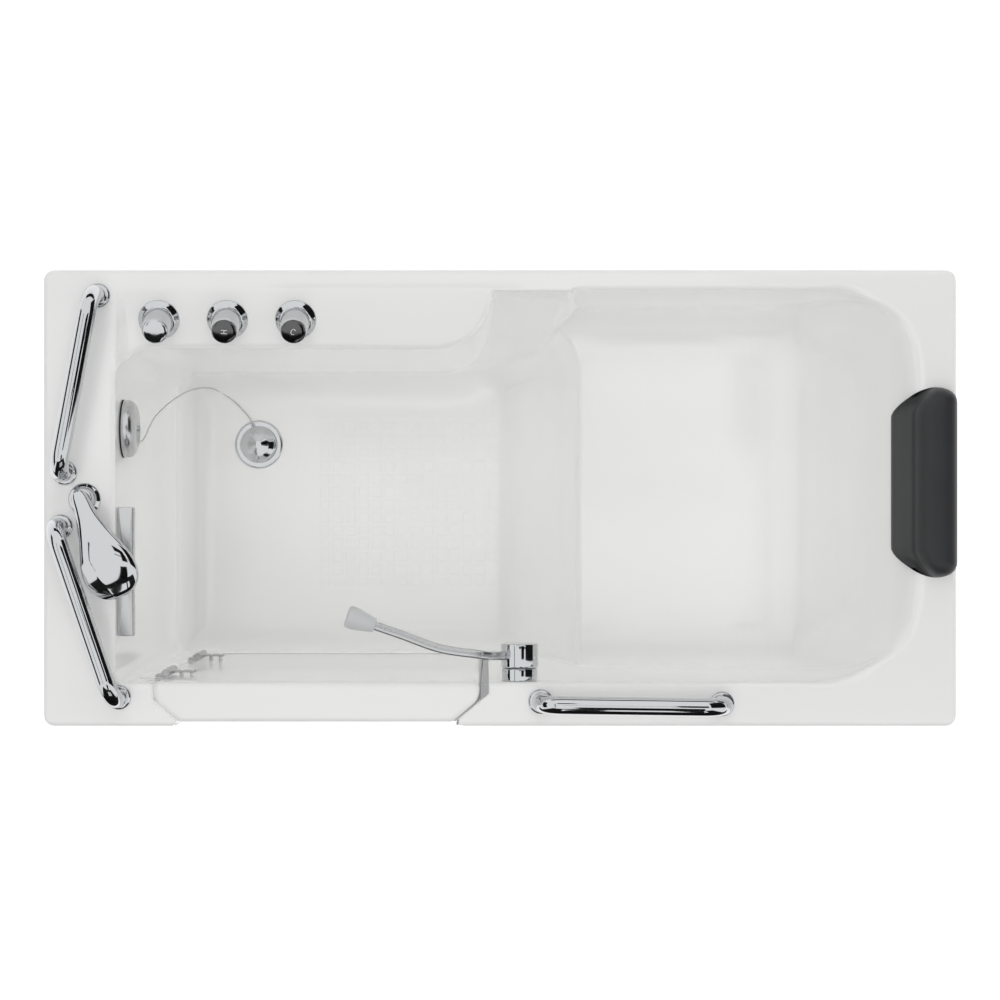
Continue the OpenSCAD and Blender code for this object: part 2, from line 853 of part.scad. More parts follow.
module frame_cross_members() {
    color(steel)
    for (x = cross_xs)
        block(
            [x - tube / 2, -post_y - tube / 2, rail_top],
            [x + tube / 2, post_y + tube / 2, cross_top]
        );
}

module frame_posts() {
    color(steel)
    for (x = [-post_x, post_x], y = [-post_y, post_y])
        translate([x - tube / 2, y + tube / 2, rail_top])
            rotate([0, 0, -90])
                rotate([0, -90, 0])
                    mirror([0, 0, 1]) square_tube(rim_height - shell_wall - rail_top);
}

seat_post_xs = [seat_x + seat_post_front, seat_back_x - seat_post_back];
seat_bearer_z = seat_height - 2 - shell_wall - tube;

module seat_supports() {
    color(steel)
    for (x = seat_post_xs) {
        for (y = [-post_y, post_y])
            block(
                [x - tube / 2, y - tube / 2, rail_top],
                [x + tube / 2, y + tube / 2, seat_bearer_z]
            );
        block(
            [x - tube / 2, -post_y - tube / 2, seat_bearer_z],
            [x + tube / 2, post_y + tube / 2, seat_bearer_z + tube]
        );
    }
}

module at_feet() {
    for (x = foot_xs, y = [-post_y, post_y]) translate([x, y, 0]) children();
}

module foot_pads() {
    color(black)
    at_feet()
        difference() {
            cylinder(d = pad_d, h = pad_h, $fn = round_fn);
            translate([0, 0, pad_h - 5]) cylinder(d = stud_d, h = 6, $fn = round_fn);
        }
}

module foot_studs() {
    color(steel)
    at_feet()
        translate([0, 0, pad_h - 5])
            cylinder(d = stud_d, h = rail_top - tube_wall - pad_h + 3, $fn = round_fn);
}

module foot_locknuts() {
    color(steel)
    at_feet()
        translate([0, 0, frame_low - nut_h])
            difference() {
                cylinder(d = 2.1 * stud_d, h = nut_h, $fn = 6);
                translate([0, 0, -1]) cylinder(d = stud_d, h = nut_h + 2, $fn = round_fn);
            }
}

// ---- Doorway trim ----

module door_body(g) {
    intersection() {
        translate([0, 0, door_bottom - g])
            linear_extrude(height = rim_height - door_bottom + g + (g > 0 ? cut : 0))
                offset_door(g);
        along_x(door_hinge_x - 40, door_lever_x + 40)
            polygon([
                [door_in_y + cut * 2, rim_height + 2 * cut],
                [door_out_y - g - 1, rim_height + 2 * cut],
                [door_out_y - g - 1, door_bottom - g + 26],
                [mitre_y - (g > 0 ? seal_swing : 0), door_bottom - g],
                [door_in_y + cut * 2, door_bottom - g]
            ]);
    }
}

// The door's plan outline, or the space the seal leaves free around it
module offset_door(g) {
    if (g > 0)
        polygon(concat(
            doorway_plan(
                g, g + 1.7, g, door_in_y + cut, door_out_y - cut
            )
        ));
    else
        polygon(door_plan());
}

module door_gasket() {
    color(rubber)
    difference() {
        translate([0, 0, sill_z + sill_strip])
            linear_extrude(height = rim_height - 4 - sill_z - sill_strip)
                polygon(doorway_plan(
                    hinge_side_gap, lever_side_gap, mitre_gap,
                    door_in_y - 4, door_out_y + 2
                ));
        door_body(seal_clearance);
    }
}

module door_sill_strip() {
    color(chrome)
    translate([0, 0, sill_z])
        linear_extrude(height = sill_strip)
            polygon(doorway_plan(
                hinge_side_gap, lever_side_gap, mitre_gap, door_in_y, door_out_y + 2
            ));
}

// ---- Door ----

module door_inner_shell() {
    color(white)
    difference() {
        door_body(0);
        // Hollow for the core, open to the outside face
        block(
            [
                door_hinge_x + mitre_length + door_skin, door_out_y - 1,
                door_bottom + 26 + door_skin
            ],
            [
                door_lever_x - mitre_length - door_skin, door_in_y - door_skin,
                rim_height - 2 * door_skin
            ]
        );
    }
}

module door_outer_skin() {
    color(white)
        block(
            [
                door_hinge_x + mitre_length + door_skin, door_out_y,
                door_bottom + 26 + door_skin
            ],
            [
                door_lever_x - mitre_length - door_skin, door_out_y + door_skin,
                rim_height - 2 * door_skin
            ]
        );
}

module door_core() {
    color([0.76, 0.63, 0.44])
        block(
            [
                door_hinge_x + mitre_length + door_skin, door_in_y - door_skin - door_core_depth,
                door_bottom + 26 + door_skin
            ],
            [
                door_lever_x - mitre_length - door_skin, door_in_y - door_skin,
                rim_height - 2 * door_skin
            ]
        );
}

// ---- Hinges ----

hinge_zs = [lower_hinge_z, upper_hinge_z];
knuckle_h = hinge_height / 3;
knuckle_gap = 0.4;
// Gap between the jamb leaf's knuckles and the closed door
leaf_lift = 0.6;

module hinge_jamb_leaves() {
    color(chrome)
    for (z = hinge_zs)
        translate([0, 0, z])
            difference() {
                union() {
                    for (k = [0, 2])
                        translate([pin_x, pin_y, k * knuckle_h])
                            cylinder(d = barrel_d, h = knuckle_h, $fn = round_fn);
                    for (k = [0, 2])
                        block(
                            [door_hinge_x - hinge_side_gap, well_door_y + leaf_lift, k * knuckle_h],
                            [pin_x - 1, pin_y, (k + 1) * knuckle_h]
                        );
                    block(
                        [door_hinge_x - hinge_side_gap - jamb_leaf_w, well_door_y, 0],
                        [door_hinge_x - hinge_side_gap, well_door_y + leaf_t, hinge_height]
                    );
                }
                translate([pin_x, pin_y, -1])
                    cylinder(d = hinge_pin_d, h = hinge_height + 2, $fn = round_fn);
            }
}

module hinge_pins() {
    color(chrome)
    for (z = hinge_zs)
        translate([pin_x, pin_y, z]) cylinder(d = hinge_pin_d, h = hinge_height, $fn = round_fn);
}

module hinge_door_leaves() {
    color(chrome)
    for (z = hinge_zs)
        translate([0, 0, z + knuckle_h + knuckle_gap]) {
            h = knuckle_h - 2 * knuckle_gap;
            difference() {
                union() {
                    translate([pin_x, pin_y, 0]) cylinder(d = barrel_d, h = h, $fn = round_fn);
                    block([pin_x, door_in_y, 0], [pin_x + barrel_d / 2, pin_y, h]);
                    block([pin_x + 1, door_in_y, 0], [pin_x + door_leaf_w, door_in_y + leaf_t, h]);
                }
                translate([pin_x, pin_y, -1])
                    cylinder(
                        d = hinge_pin_d + 2 * hinge_clearance, h = h + 2, $fn = round_fn
                    );
            }
            for (s = [0.45, 0.82])
                translate([pin_x + s * door_leaf_w, door_in_y + leaf_t, h / 2])
                    rotate([-90, 0, 0]) cylinder(d = screw_head_d, h = 1.2, $fn = round_fn);
        }
}

// ---- Door lever ----

// Turns a piece so that its Z axis runs into the tub from the lever's wall
module on_lever_axis(y) {
    translate([lever_x, y, lever_z]) rotate([-90, 0, 0]) children();
}

module lever_base() {
    color(chrome)
    on_lever_axis(well_door_y)
        difference() {
            cylinder(d = lever_base_d, h = lever_base_h, $fn = round_fn);
            translate([0, 0, -1])
                cylinder(d = lever_spindle_d + 0.16, h = lever_base_h + 2, $fn = round_fn);
        }
}

module lever_hub() {
    color(chrome)
    on_lever_axis(lever_hub_y)
        difference() {
            rotate_extrude($fn = round_fn)
                polygon([
                    [0, 0], [lever_hub_d / 2, 0], [lever_hub_d / 2, lever_hub_h - 3],
                    [lever_hub_d / 2 - 3, lever_hub_h], [0, lever_hub_h]
                ]);
            translate([0, 0, -1])
                cylinder(d = lever_spindle_d, h = lever_hub_h * 0.6 + 1, $fn = round_fn);
        }
}

module lever_spindle() {
    color(steel)
    on_lever_axis(well_door_y - shell_wall - 16) {
        cylinder(
            d = lever_spindle_d, h = lever_hub_y + lever_hub_h * 0.6 - well_door_y + shell_wall + 16,
            $fn = round_fn
        );
        translate([0, 0, 4]) cylinder(d = 2 * lever_spindle_d, h = 9, $fn = 6);
    }
}

// Middle line of the lever's arm: out of the hub, up over the rim, then level
arm_route = [
    [lever_x - 26, lever_hub_y + 21, lever_z + 14],
    [lever_x - 42, lever_hub_y + 22, lever_z + 34],
    [lever_x - 56, lever_hub_y + 23, lever_arm_z - 5],
    [lever_x - 74, lever_hub_y + 26, lever_arm_z],
    [lever_x - 0.554 * lever_reach, lever_hub_y + 0.48 * lever_sweep, lever_arm_z],
    [lever_x - 0.808 * lever_reach, lever_hub_y + 0.78 * lever_sweep, lever_arm_z + 2],
    [lever_x - lever_reach, lever_hub_y + lever_sweep, lever_arm_z + 5]
];

// Direction of a route at point i
function heading(route, i) =
    let (a = route[max(i - 1, 0)], b = route[min(i + 1, len(route) - 1)])
    (b - a) / norm(b - a);

// A flat bar's section at point i of a route: w across, t thick
function bar_ring(route, i, w, t) =
    let (u = heading(route, i), side = cross(u, [0, 0, 1]) / norm(cross(u, [0, 0, 1])))
    let (up = cross(side, u))
    let (q = 0.28)
    [for (c = [
        [-1, -1 + 2 * q], [-1 + q, -1], [1 - q, -1], [1, -1 + 2 * q],
        [1, 1 - 2 * q], [1 - q, 1], [-1 + q, 1], [-1, 1 - 2 * q]
    ]) route[i] + c.x * w / 2 * side + c.y * t / 2 * up];

module lever_arm() {
    color(chrome)
    difference() {
        skin([for (i = [0:len(arm_route) - 1])
            bar_ring(arm_route, i, lever_arm_w, lever_arm_t)]);
        on_lever_axis(lever_hub_y - 1)
            cylinder(d = lever_hub_d, h = lever_hub_h + 2, $fn = round_fn);
    }
}

module lever_grip() {
    end = arm_route[len(arm_route) - 1];
    tip = end + lever_grip_l * heading(arm_route, len(arm_route) - 1);
    r = lever_grip_d / 2;
    color(rubber)
    aimed(end, tip)
        rotate_extrude($fn = round_fn)
            polygon(concat(
                [[0, 0], [r * 0.52, 0], [r * 0.55, lever_grip_l * 0.2]],
                [for (a = [0:15:90])
                    [r - 7 + 7 * cos(a), lever_grip_l - 7 + 7 * sin(a)]],
                [[0, lever_grip_l]]
            ));
}

// ---- Grab bars ----

// A tube bent down at both ends onto the deck, between two plan points
module grab_bar(ends) {
    v = ends[1] - ends[0];
    l = norm(v);
    r = bar_bend;
    color(chrome)
    translate([ends[0].x, ends[0].y, rim_height])
        rotate([0, 0, atan2(v.y, v.x)]) {
            for (x = [0, l])
                translate([x, 0, 0])
                    linear_extrude(height = bar_rise - r) bar_section();
            translate([r, 0, bar_rise - r])
                rotate([90, 0, 0]) rotate([0, 0, 90])
                    rotate_extrude(angle = 90, $fn = round_fn)
                        translate([r, 0]) bar_section();
            translate([l - r, 0, bar_rise - r])
                rotate([90, 0, 0])
                    rotate_extrude(angle = 90, $fn = round_fn)
                        translate([r, 0]) bar_section();
            translate([r, 0, bar_rise])
                rotate([90, 0, 90]) linear_extrude(height = l - 2 * r) bar_section();
        }
}

module bar_section() {
    difference() {
        circle(d = bar_d, $fn = round_fn);
        circle(d = bar_d - 2 * bar_wall, $fn = round_fn);
    }
}

module grab_bar_wall_side() { grab_bar(bar_wall_side); }
module grab_bar_foot_end() { grab_bar(bar_foot_end); }
module grab_bar_door_side() { grab_bar(bar_door_side); }

module at_bar_feet() {
    for (bar = [bar_wall_side, bar_foot_end, bar_door_side], p = bar)
        translate([p.x, p.y, rim_height]) children();
}

module grab_bar_rings() {
    color(chrome)
    at_bar_feet()
        difference() {
            cylinder(d1 = bar_ring_d, d2 = bar_ring_d - 5, h = bar_ring_h, $fn = round_fn);
            translate([0, 0, -1]) cylinder(d = bar_d, h = bar_ring_h + 2, $fn = round_fn);
        }
}

// A threaded plug inside each bar foot, with its stud and nut under the deck
module grab_bar_studs() {
    color(steel)
    at_bar_feet() {
        cylinder(d = bar_d - 2 * bar_wall, h = 14, $fn = round_fn);
        translate([0, 0, -shell_wall - 18]) cylinder(d = bar_stud_d, h = shell_wall + 18, $fn = round_fn);
        translate([0, 0, -shell_wall - 10]) cylinder(d = 2 * bar_stud_d, h = 10, $fn = 6);
    }
}

// ---- Taps and pipes ----

module tap_flanges() {
    color(chrome)
    for (i = [0:2])
        on_ledge(i)
            difference() {
                rotate_extrude($fn = round_fn)
                    polygon([
                        [0, 0], [tap_flange_d / 2, 0], [tap_flange_d / 2, 2],
                        [tap_flange_d / 2 - 3, 5], [tap_knob_d / 2 + 1, tap_flange_h],
                        [0, tap_flange_h]
                    ]);
                translate([0, 0, -1])
                    cylinder(d = valve_shank_d, h = tap_flange_h + 2, $fn = round_fn);
            }
}

module valve_bodies() {
    color(brass)
    for (i = [0:2])
        on_ledge(i) {
            translate([0, 0, -shell_wall - nut_h - 4])
                cylinder(d = valve_shank_d, h = shell_wall + nut_h + 4 + tap_flange_h, $fn = round_fn);
            translate([0, 0, -shell_wall - nut_h - 4 - valve_body_h])
                cylinder(d = valve_body_d, h = valve_body_h, $fn = round_fn);
        }
    // Side bosses for the mixed water, and the inlets under the hot and cold valves
    color(brass)
    for (i = [0:2])
        translate(valve_centre(i)) {
            rotate([0, 90, 0])
                cylinder(d = boss_d, h = 2 * boss_reach, center = true, $fn = round_fn);
            if (i > 0)
                translate([0, 0, -inlet_reach]) cylinder(d = boss_d, h = inlet_reach, $fn = round_fn);
        }
}

// Hexagonal nut with a bore, standing on its lower face
module hex_nut(across, bore, h) {
    difference() {
        cylinder(d = across, h = h, $fn = 6);
        translate([0, 0, -1]) cylinder(d = bore, h = h + 2, $fn = round_fn);
    }
}

module fitting_locknuts() {
    color(brass) {
        for (i = [0:2])
            on_ledge(i)
                translate([0, 0, -shell_wall - nut_h])
                    hex_nut(valve_shank_d + 17, valve_shank_d, nut_h);
        translate([well_x - shell_wall - nut_h, spout_y, spout_z])
            rotate([0, 90, 0]) hex_nut(spout_shank_d + 14, spout_shank_d, nut_h);
        translate([holder_x, holder_y, rim_height - shell_wall - nut_h])
            hex_nut(holder_shank_d + 14, holder_shank_d, nut_h);
    }
}

// Middle of a valve body, where its pipes join
function valve_centre(i) =
    let (y = well_back_y + ledge_width / 2)
    let (d = shell_wall + nut_h + 4 + valve_body_h * 0.62)
    [
        well_x + tap_start + i * tap_pitch,
        y + d * sin(ledge_slope),
        rim_height - (basin_back_y - y) * tan(ledge_slope) - d * cos(ledge_slope)
    ];

boss_d = pipe_d + 6;
boss_reach = valve_body_d / 2 + 5;
inlet_reach = valve_body_h * 0.8;

module mixer_pipe() {
    color(brass)
    for (i = [0, 1])
        bar_between(
            valve_centre(i) + [boss_reach, 0, 0], valve_centre(i + 1) - [boss_reach, 0, 0], pipe_d
        );
}

module supply_pipes() {
    color(brass)
    for (i = [1, 2]) {
        c = valve_centre(i);
        translate([c.x, c.y, supply_end]) {
            cylinder(d = pipe_d, h = supply_tail, $fn = round_fn);
            cylinder(d = pipe_d - 1, h = c.z - inlet_reach - supply_end, $fn = round_fn);
        }
    }
}

// From the first valve round to the back of the spout
module spout_feed_pipe() {
    c = valve_centre(0);
    start = [c.x - boss_reach, c.y, c.z];
    corner = [riser_x, c.y, c.z];
    turn = [riser_x, spout_y, spout_z];
    down = [riser_x, spout_y, c.z];
    color(brass) {
        bar_between(start, corner, pipe_d);
        bar_between(corner, down, pipe_d);
        bar_between(down, turn, pipe_d);
        for (p = [corner, down, turn]) translate(p) sphere(d = boss_d, $fn = round_fn);
        bar_between(turn, [well_x - spout_shank_l, spout_y, spout_z], pipe_d);
    }
}

// ---- Waterfall spout ----

module waterfall_spout() {
    color(chrome)
    difference() {
        union() {
            block(
                [well_x, spout_y - spout_length / 2, spout_z - spout_height / 2],
                [well_x + spout_reach, spout_y + spout_length / 2, spout_z + spout_height / 2]
            );
            translate([well_x - spout_shank_l, spout_y, spout_z])
                rotate([0, 90, 0]) cylinder(d = spout_shank_d, h = spout_shank_l + 2, $fn = round_fn);
        }
        block(
            [well_x + 8, spout_y - spout_length / 2 + 8, spout_z - spout_height / 2 + 3],
            [
                well_x + spout_reach + cut, spout_y + spout_length / 2 - 8,
                spout_z - spout_height / 2 + 3 + spout_slot
            ]
        );
    }
}

// ---- Overflow ----

// Turns a piece so that its Z axis runs into the tub from the foot-end wall
module on_overflow(x) {
    translate([x, overflow_y, overflow_z]) rotate([0, 90, 0]) children();
}

module overflow_cover() {
    color(chrome)
    on_overflow(well_x)
        difference() {
            rotate_extrude($fn = round_fn)
                polygon([
                    [3.5, overflow_h - 6], [14, overflow_h - 6],
                    [14, 0], [overflow_bore / 2 - 2, 0], [overflow_bore / 2 - 2, overflow_h - 8],
                    [overflow_d / 2 - 10, overflow_h - 9], [overflow_d / 2 - 3, overflow_h - 14],
                    [overflow_d / 2 - 3, 0], [overflow_d / 2, 0],
                    [overflow_d / 2, overflow_h - 11], [overflow_d / 2 - 8, overflow_h - 3],
                    [overflow_d / 2 - 20, overflow_h], [3.5, overflow_h]
                ]);
            // Inlet slot along the lower edge
            translate([overflow_d / 2 - 8, -24, 4]) cube([cut, 48, overflow_h - 19]);
        }
}

module overflow_screw() {
    color(chrome)
    on_overflow(well_x) {
        translate([0, 0, overflow_h]) cylinder(d = 11, h = 2.5, $fn = round_fn);
        translate([0, 0, -shell_wall - 14])
            cylinder(d = 6, h = overflow_h + shell_wall + 14, $fn = round_fn);
    }
}

elbow_depth = 44;

module overflow_elbow() {
    color(white)
    difference() {
        union() {
            on_overflow(well_x - shell_wall - elbow_depth)
                cylinder(d = overflow_pipe_d + 12, h = elbow_depth, $fn = round_fn);
            translate([well_x - shell_wall - elbow_depth / 2, overflow_y, overflow_z - 58])
                cylinder(d = overflow_pipe_d + 6, h = 58, $fn = round_fn);
        }
        on_overflow(well_x - shell_wall - elbow_depth + 4)
            cylinder(d = overflow_pipe_d, h = elbow_depth, $fn = round_fn);
        translate([well_x - shell_wall - elbow_depth / 2, overflow_y, overflow_z - 60])
            cylinder(d = overflow_pipe_d, h = 60, $fn = round_fn);
        on_overflow(well_x - shell_wall - 30) cylinder(d = 6, h = 30, $fn = round_fn);
    }
}

waste_z = frame_low + 8;
drain_body_low = waste_z - overflow_pipe_d / 2 - 4;
// Depth of the socket that holds the tailpiece, and the tailpiece's neck in it
socket_depth = 10;
tailpiece_neck = tailpiece_d - 2;
tailpiece_bore = tailpiece_d - 6;
// Length of the tailpiece's plain end below the drain body
tailpiece_plain = drain_body_low - tailpiece_end - 1;
// Ends of the overflow pipe's lower run
overflow_foot = [well_x - shell_wall - elbow_depth / 2, overflow_y, waste_z];
overflow_end = [drain_x - drain_bore / 2 - 4, drain_y, waste_z];

// Down behind the foot-end wall, then under the footwell to the drain
module overflow_pipe() {
    color(white) {
        translate(overflow_foot) {
            cylinder(d = overflow_pipe_d, h = overflow_z - 26 - waste_z, $fn = round_fn);
            sphere(d = overflow_pipe_d + 6, $fn = round_fn);
        }
        bar_between(overflow_foot, overflow_end, overflow_pipe_d);
    }
}

// ---- Drain and stopper ----

module drain_flange() {
    color(chrome)
    translate([drain_x, drain_y, 0])
        difference() {
            union() {
                translate([0, 0, well_floor])
                    cylinder(
                        d1 = drain_flange_d, d2 = drain_flange_d - 4, h = drain_flange_h,
                        $fn = round_fn
                    );
                translate([0, 0, well_floor - shell_wall - 24])
                    cylinder(d = drain_bore + 7, h = 24 + shell_wall + 1, $fn = round_fn);
            }
            translate([0, 0, well_floor - shell_wall - 30])
                cylinder(d = drain_bore, h = 60, $fn = round_fn);
        }
}

module drain_locknut() {
    color(brass)
    translate([drain_x, drain_y, well_floor - shell_wall - 8])
        hex_nut(drain_bore + 28, drain_bore + 7, 8);
}

module drain_body() {
    top = well_floor - shell_wall - 8;
    color(white)
    translate([drain_x, drain_y, 0])
        difference() {
            translate([0, 0, drain_body_low])
                cylinder(d = drain_bore + 18, h = top - drain_body_low, $fn = round_fn);
            translate([0, 0, top - 16]) cylinder(d = drain_bore + 7, h = 20, $fn = round_fn);
            translate([0, 0, drain_body_low + socket_depth])
                cylinder(d = tailpiece_bore, h = top, $fn = round_fn);
            translate([0, 0, drain_body_low - 1])
                cylinder(d = tailpiece_neck, h = socket_depth + 1, $fn = round_fn);
            translate([-drain_x, -drain_y, 0]) {
                bar_between(overflow_foot, overflow_end, overflow_pipe_d);
                bar_between(
                    overflow_end - [4, 0, 0], [drain_x, drain_y, waste_z], overflow_pipe_d - 8
                );
            }
        }
}

module waste_tailpiece() {
    color(chrome)
    translate([drain_x, drain_y, tailpiece_end])
        difference() {
            union() {
                cylinder(d = tailpiece_d, h = tailpiece_plain, $fn = round_fn);
                cylinder(
                    d = tailpiece_neck, h = drain_body_low + socket_depth - tailpiece_end,
                    $fn = round_fn
                );
            }
            translate([0, 0, -1])
                cylinder(d = tailpiece_bore, h = waste_z, $fn = round_fn);
        }
}

flange_top = well_floor + drain_flange_h;
seal_h = 3;
// Direction of the cord's eye on the stopper
eye_angle = 107;
eye_reach = 6;

module stopper_cap() {
    color(chrome)
    translate([drain_x, drain_y, flange_top + seal_h]) {
        rotate_extrude($fn = round_fn)
            polygon([
                [0, 0], [stopper_d / 2 - 2, 0], [stopper_d / 2, 2],
                [stopper_d / 2 - 4, 4.5], [stopper_d / 2 - 16, stopper_h - 1.5],
                [6, stopper_h], [0, stopper_h]
            ]);
        translate([0, 0, -20]) cylinder(d = 12, h = 21, $fn = round_fn);
        rotate([0, 0, eye_angle])
            translate([stopper_d / 2 - 6, -4, 0.5]) cube([6 + eye_reach, 8, 3.5]);
    }
}

module stopper_seal() {
    color(rubber)
    translate([drain_x, drain_y, flange_top + touch])
        difference() {
            cylinder(d = drain_bore + 12, h = seal_h - touch, $fn = round_fn);
            translate([0, 0, -1]) cylinder(d = 12, h = seal_h + 2, $fn = round_fn);
        }
}

// Route of the stopper's cord: out of the overflow cover, down the wall, across
// the footwell floor and up to the stopper's eye
cord_gap = 0.8;
cord_eye = [
    drain_x + (stopper_d / 2 + eye_reach + cord_gap) * cos(eye_angle),
    drain_y + (stopper_d / 2 + eye_reach + cord_gap) * sin(eye_angle),
    flange_top + seal_h + 2.2
];
cord_route = [
    [-628, 96, 825], [-624, 97, 812], [-619, 100, 795], [-618, 112, 755], [-618, 128, 710],
    [-618, 146, 640], [-618, 160, 560], [-618, 173, 480], [-616, 185, 400],
    [-614, 196, 320], [-611, 206, 250], [-606, 213, 195], [-598, 218, 150],
    [-588, 220, 125], [-574, 219, 108], [-560, 213, 100], [-546, 204, 98],
    [-532, 194, 97], [-519, 181, 97], [-508, 169, 98], [-499, 157, 101]
];

// Point at parameter t on a smooth curve through four points
function smooth_point(a, b, c, d, t) =
    0.5 * (2 * b + (c - a) * t + (2 * a - 5 * b + 4 * c - d) * t * t
        + (3 * b - a - 3 * c + d) * t * t * t);

function smooth_route(p, n) = [
    for (i = [0:len(p) - 2], j = [0:n - 1])
        smooth_point(
            p[max(i - 1, 0)], p[i], p[i + 1], p[min(i + 2, len(p) - 1)], j / n
        ),
    p[len(p) - 1]
];

// A round section of diameter d at point i of a route
function tube_ring(route, i, d, sides) =
    let (u = heading(route, i), side = cross(u, [1, 0.3, 0]) / norm(cross(u, [1, 0.3, 0])))
    let (up = cross(side, u))
    [for (k = [0:sides - 1])
        route[i] + d / 2 * (cos(360 * k / sides) * side + sin(360 * k / sides) * up)];

module stopper_cord() {
    cord_sides = 8;
    cord_pieces = 4;
    path = smooth_route(concat(cord_route, [cord_eye]), cord_pieces);
    color([0.8, 0.8, 0.8])
        skin([for (i = [0:len(path) - 1]) tube_ring(path, i, cord_d, cord_sides)]);
}

// ---- Hand shower ----

shank_len = 30;
handset_low = rim_height + holder_h + touch;
spray_face_h = 7;
spray_face_at = [124, 0, 18];
spray_face_tilt = 8;

module shower_holder() {
    color(chrome)
    translate([holder_x, holder_y, rim_height])
        difference() {
            union() {
                rotate_extrude($fn = round_fn)
                    polygon([
                        [0, 0], [holder_d / 2, 0], [holder_d / 2, 3],
                        [holder_d / 2 - 5, 7], [shank_d / 2 + 8, 9],
                        [shank_d / 2 + 5, holder_h], [0, holder_h]
                    ]);
                translate([0, 0, -shell_wall - nut_h - 12])
                    cylinder(d = holder_shank_d, h = shell_wall + nut_h + 13, $fn = round_fn);
            }
            translate([0, 0, holder_h - shank_len - 2])
                cylinder(d = shank_d + 2 * shank_clearance, h = shank_len + 3, $fn = round_fn);
        }
}

module handset_shank() {
    color(chrome)
    translate([holder_x, holder_y, handset_low - shank_len])
        cylinder(d = shank_d, h = shank_len, $fn = round_fn);
}

// Stations of the handset from its shank to the nose of its head:
// distance along, height above the holder, half width, half thickness
handset_turn = -66;
handset_stations = [
    [-15, 10, 5, 7], [-12, 10, 10, 9.5], [0, 12, 14, 12], [16, 18, 16, 13],
    [38, 27, 20, 14], [62, 34, 27, 15], [86, 38, 35, 16], [108, 39, 42, 16],
    [128, 37, 45, 15.5], [146, 33, 43, 14], [161, 28, 35, 12], [171, 24, 23, 9],
    [175, 21, 9, 5]
];

module handset_shell() {
    around = 24;
    color(chrome)
    difference() {
        translate([holder_x, holder_y, handset_low])
            rotate([0, 0, handset_turn])
                skin([for (s = handset_stations)
                    [for (k = [0:around - 1])
                        [s[0], s[2] * cos(360 * k / around), s[1] + s[3] * sin(360 * k / around)]]
                ]);
        at_spray_face()
            translate([0, 0, -cut]) cylinder(d = spray_face_d, h = cut + spray_face_h, $fn = round_fn);
    }
}

module at_spray_face() {
    translate([holder_x, holder_y, handset_low])
        rotate([0, 0, handset_turn])
            translate(spray_face_at) rotate([0, spray_face_tilt, 0]) children();
}

module spray_face() {
    color(black)
    at_spray_face() cylinder(d = spray_face_d, h = spray_face_h, $fn = round_fn);
}

// ---- Tap knobs ----

knob_lift = 0.5;

module tap_knob(i) {
    color(chrome)
    on_ledge(i)
        translate([0, 0, tap_flange_h + knob_lift])
            cylinder(d1 = tap_knob_d, d2 = tap_knob_end_d, h = tap_knob_h, $fn = round_fn);
}

module tap_disc(i) {
    color(black)
    on_ledge(i)
        translate([0, 0, tap_flange_h + knob_lift + tap_knob_h])
            cylinder(d = tap_knob_end_d - 2, h = tap_disc_h, $fn = round_fn);
}

module diverter_knob() {
    tap_knob(0);
    color(chrome)
    on_ledge(0)
        translate([0, 0, tap_flange_h + knob_lift + tap_knob_h])
            cylinder(d = tap_knob_end_d - 2, h = tap_disc_h, $fn = round_fn);
}
module hot_knob() { tap_knob(1); }
module hot_disc() { tap_disc(1); }
module cold_knob() { tap_knob(2); }
module cold_disc() { tap_disc(2); }

// ---- Pillow ----

pillow_clearance = 0.5;
pillow_back = 4;
pillow_front = 48;
sucker_d = 30;

// Section of the pillow in X and Z at t, from -1 to 1 along its length: a roll on
// the deck and a wedge that leans on the backrest, both drawn in at the ends
function pillow_ring(t) =
    let (e = pow(abs(t), 4), f = pow(abs(t), 2.4))
    let (roll = pillow_height * (1 - 0.55 * e), z0 = rim_height + pillow_clearance)
    let (bx = head_x - pillow_back - 14 * e)
    let (fx = basin_head_x - pillow_front + 30 * f)
    let (tip_z = rim_height - pillow_reach * (1 - 0.62 * f))
    let (y = pillow_offset + t * pillow_length / 2)
    [
        [bx, y, z0], [bx + 1, y, z0 + 0.35 * roll], [bx - 7, y, z0 + 0.75 * roll],
        [bx - 22, y, z0 + roll], [bx - 40, y, z0 + 0.97 * roll],
        [basin_head_x - 12, y, z0 + 0.78 * roll], [fx + 12, y, z0 + 0.3 * roll],
        [fx + 4, y, z0 - 10], [fx + 1, y, tip_z + 14], [fx + 6, y, tip_z],
        [fx + 14, y, tip_z - 2],
        [basin_head_x - 18 - 0.18 * (rim_height - tip_z), y, tip_z + 6],
        [basin_head_x - 16, y, rim_height - 30], [basin_head_x - 4, y, rim_height - 8],
        [basin_head_x - 4, y, z0]
    ];

module pillow() {
    color(foam)
        skin([for (a = [-90:9:90]) pillow_ring(sin(a) * (1 - 0.0001))]);
}

module pillow_suckers() {
    color(black)
    for (y = [-0.3, 0.3])
        translate([head_x - head_deck / 2, pillow_offset + y * pillow_length, rim_height])
            cylinder(d = sucker_d, h = pillow_clearance, $fn = round_fn);
}

// ---- Show ----

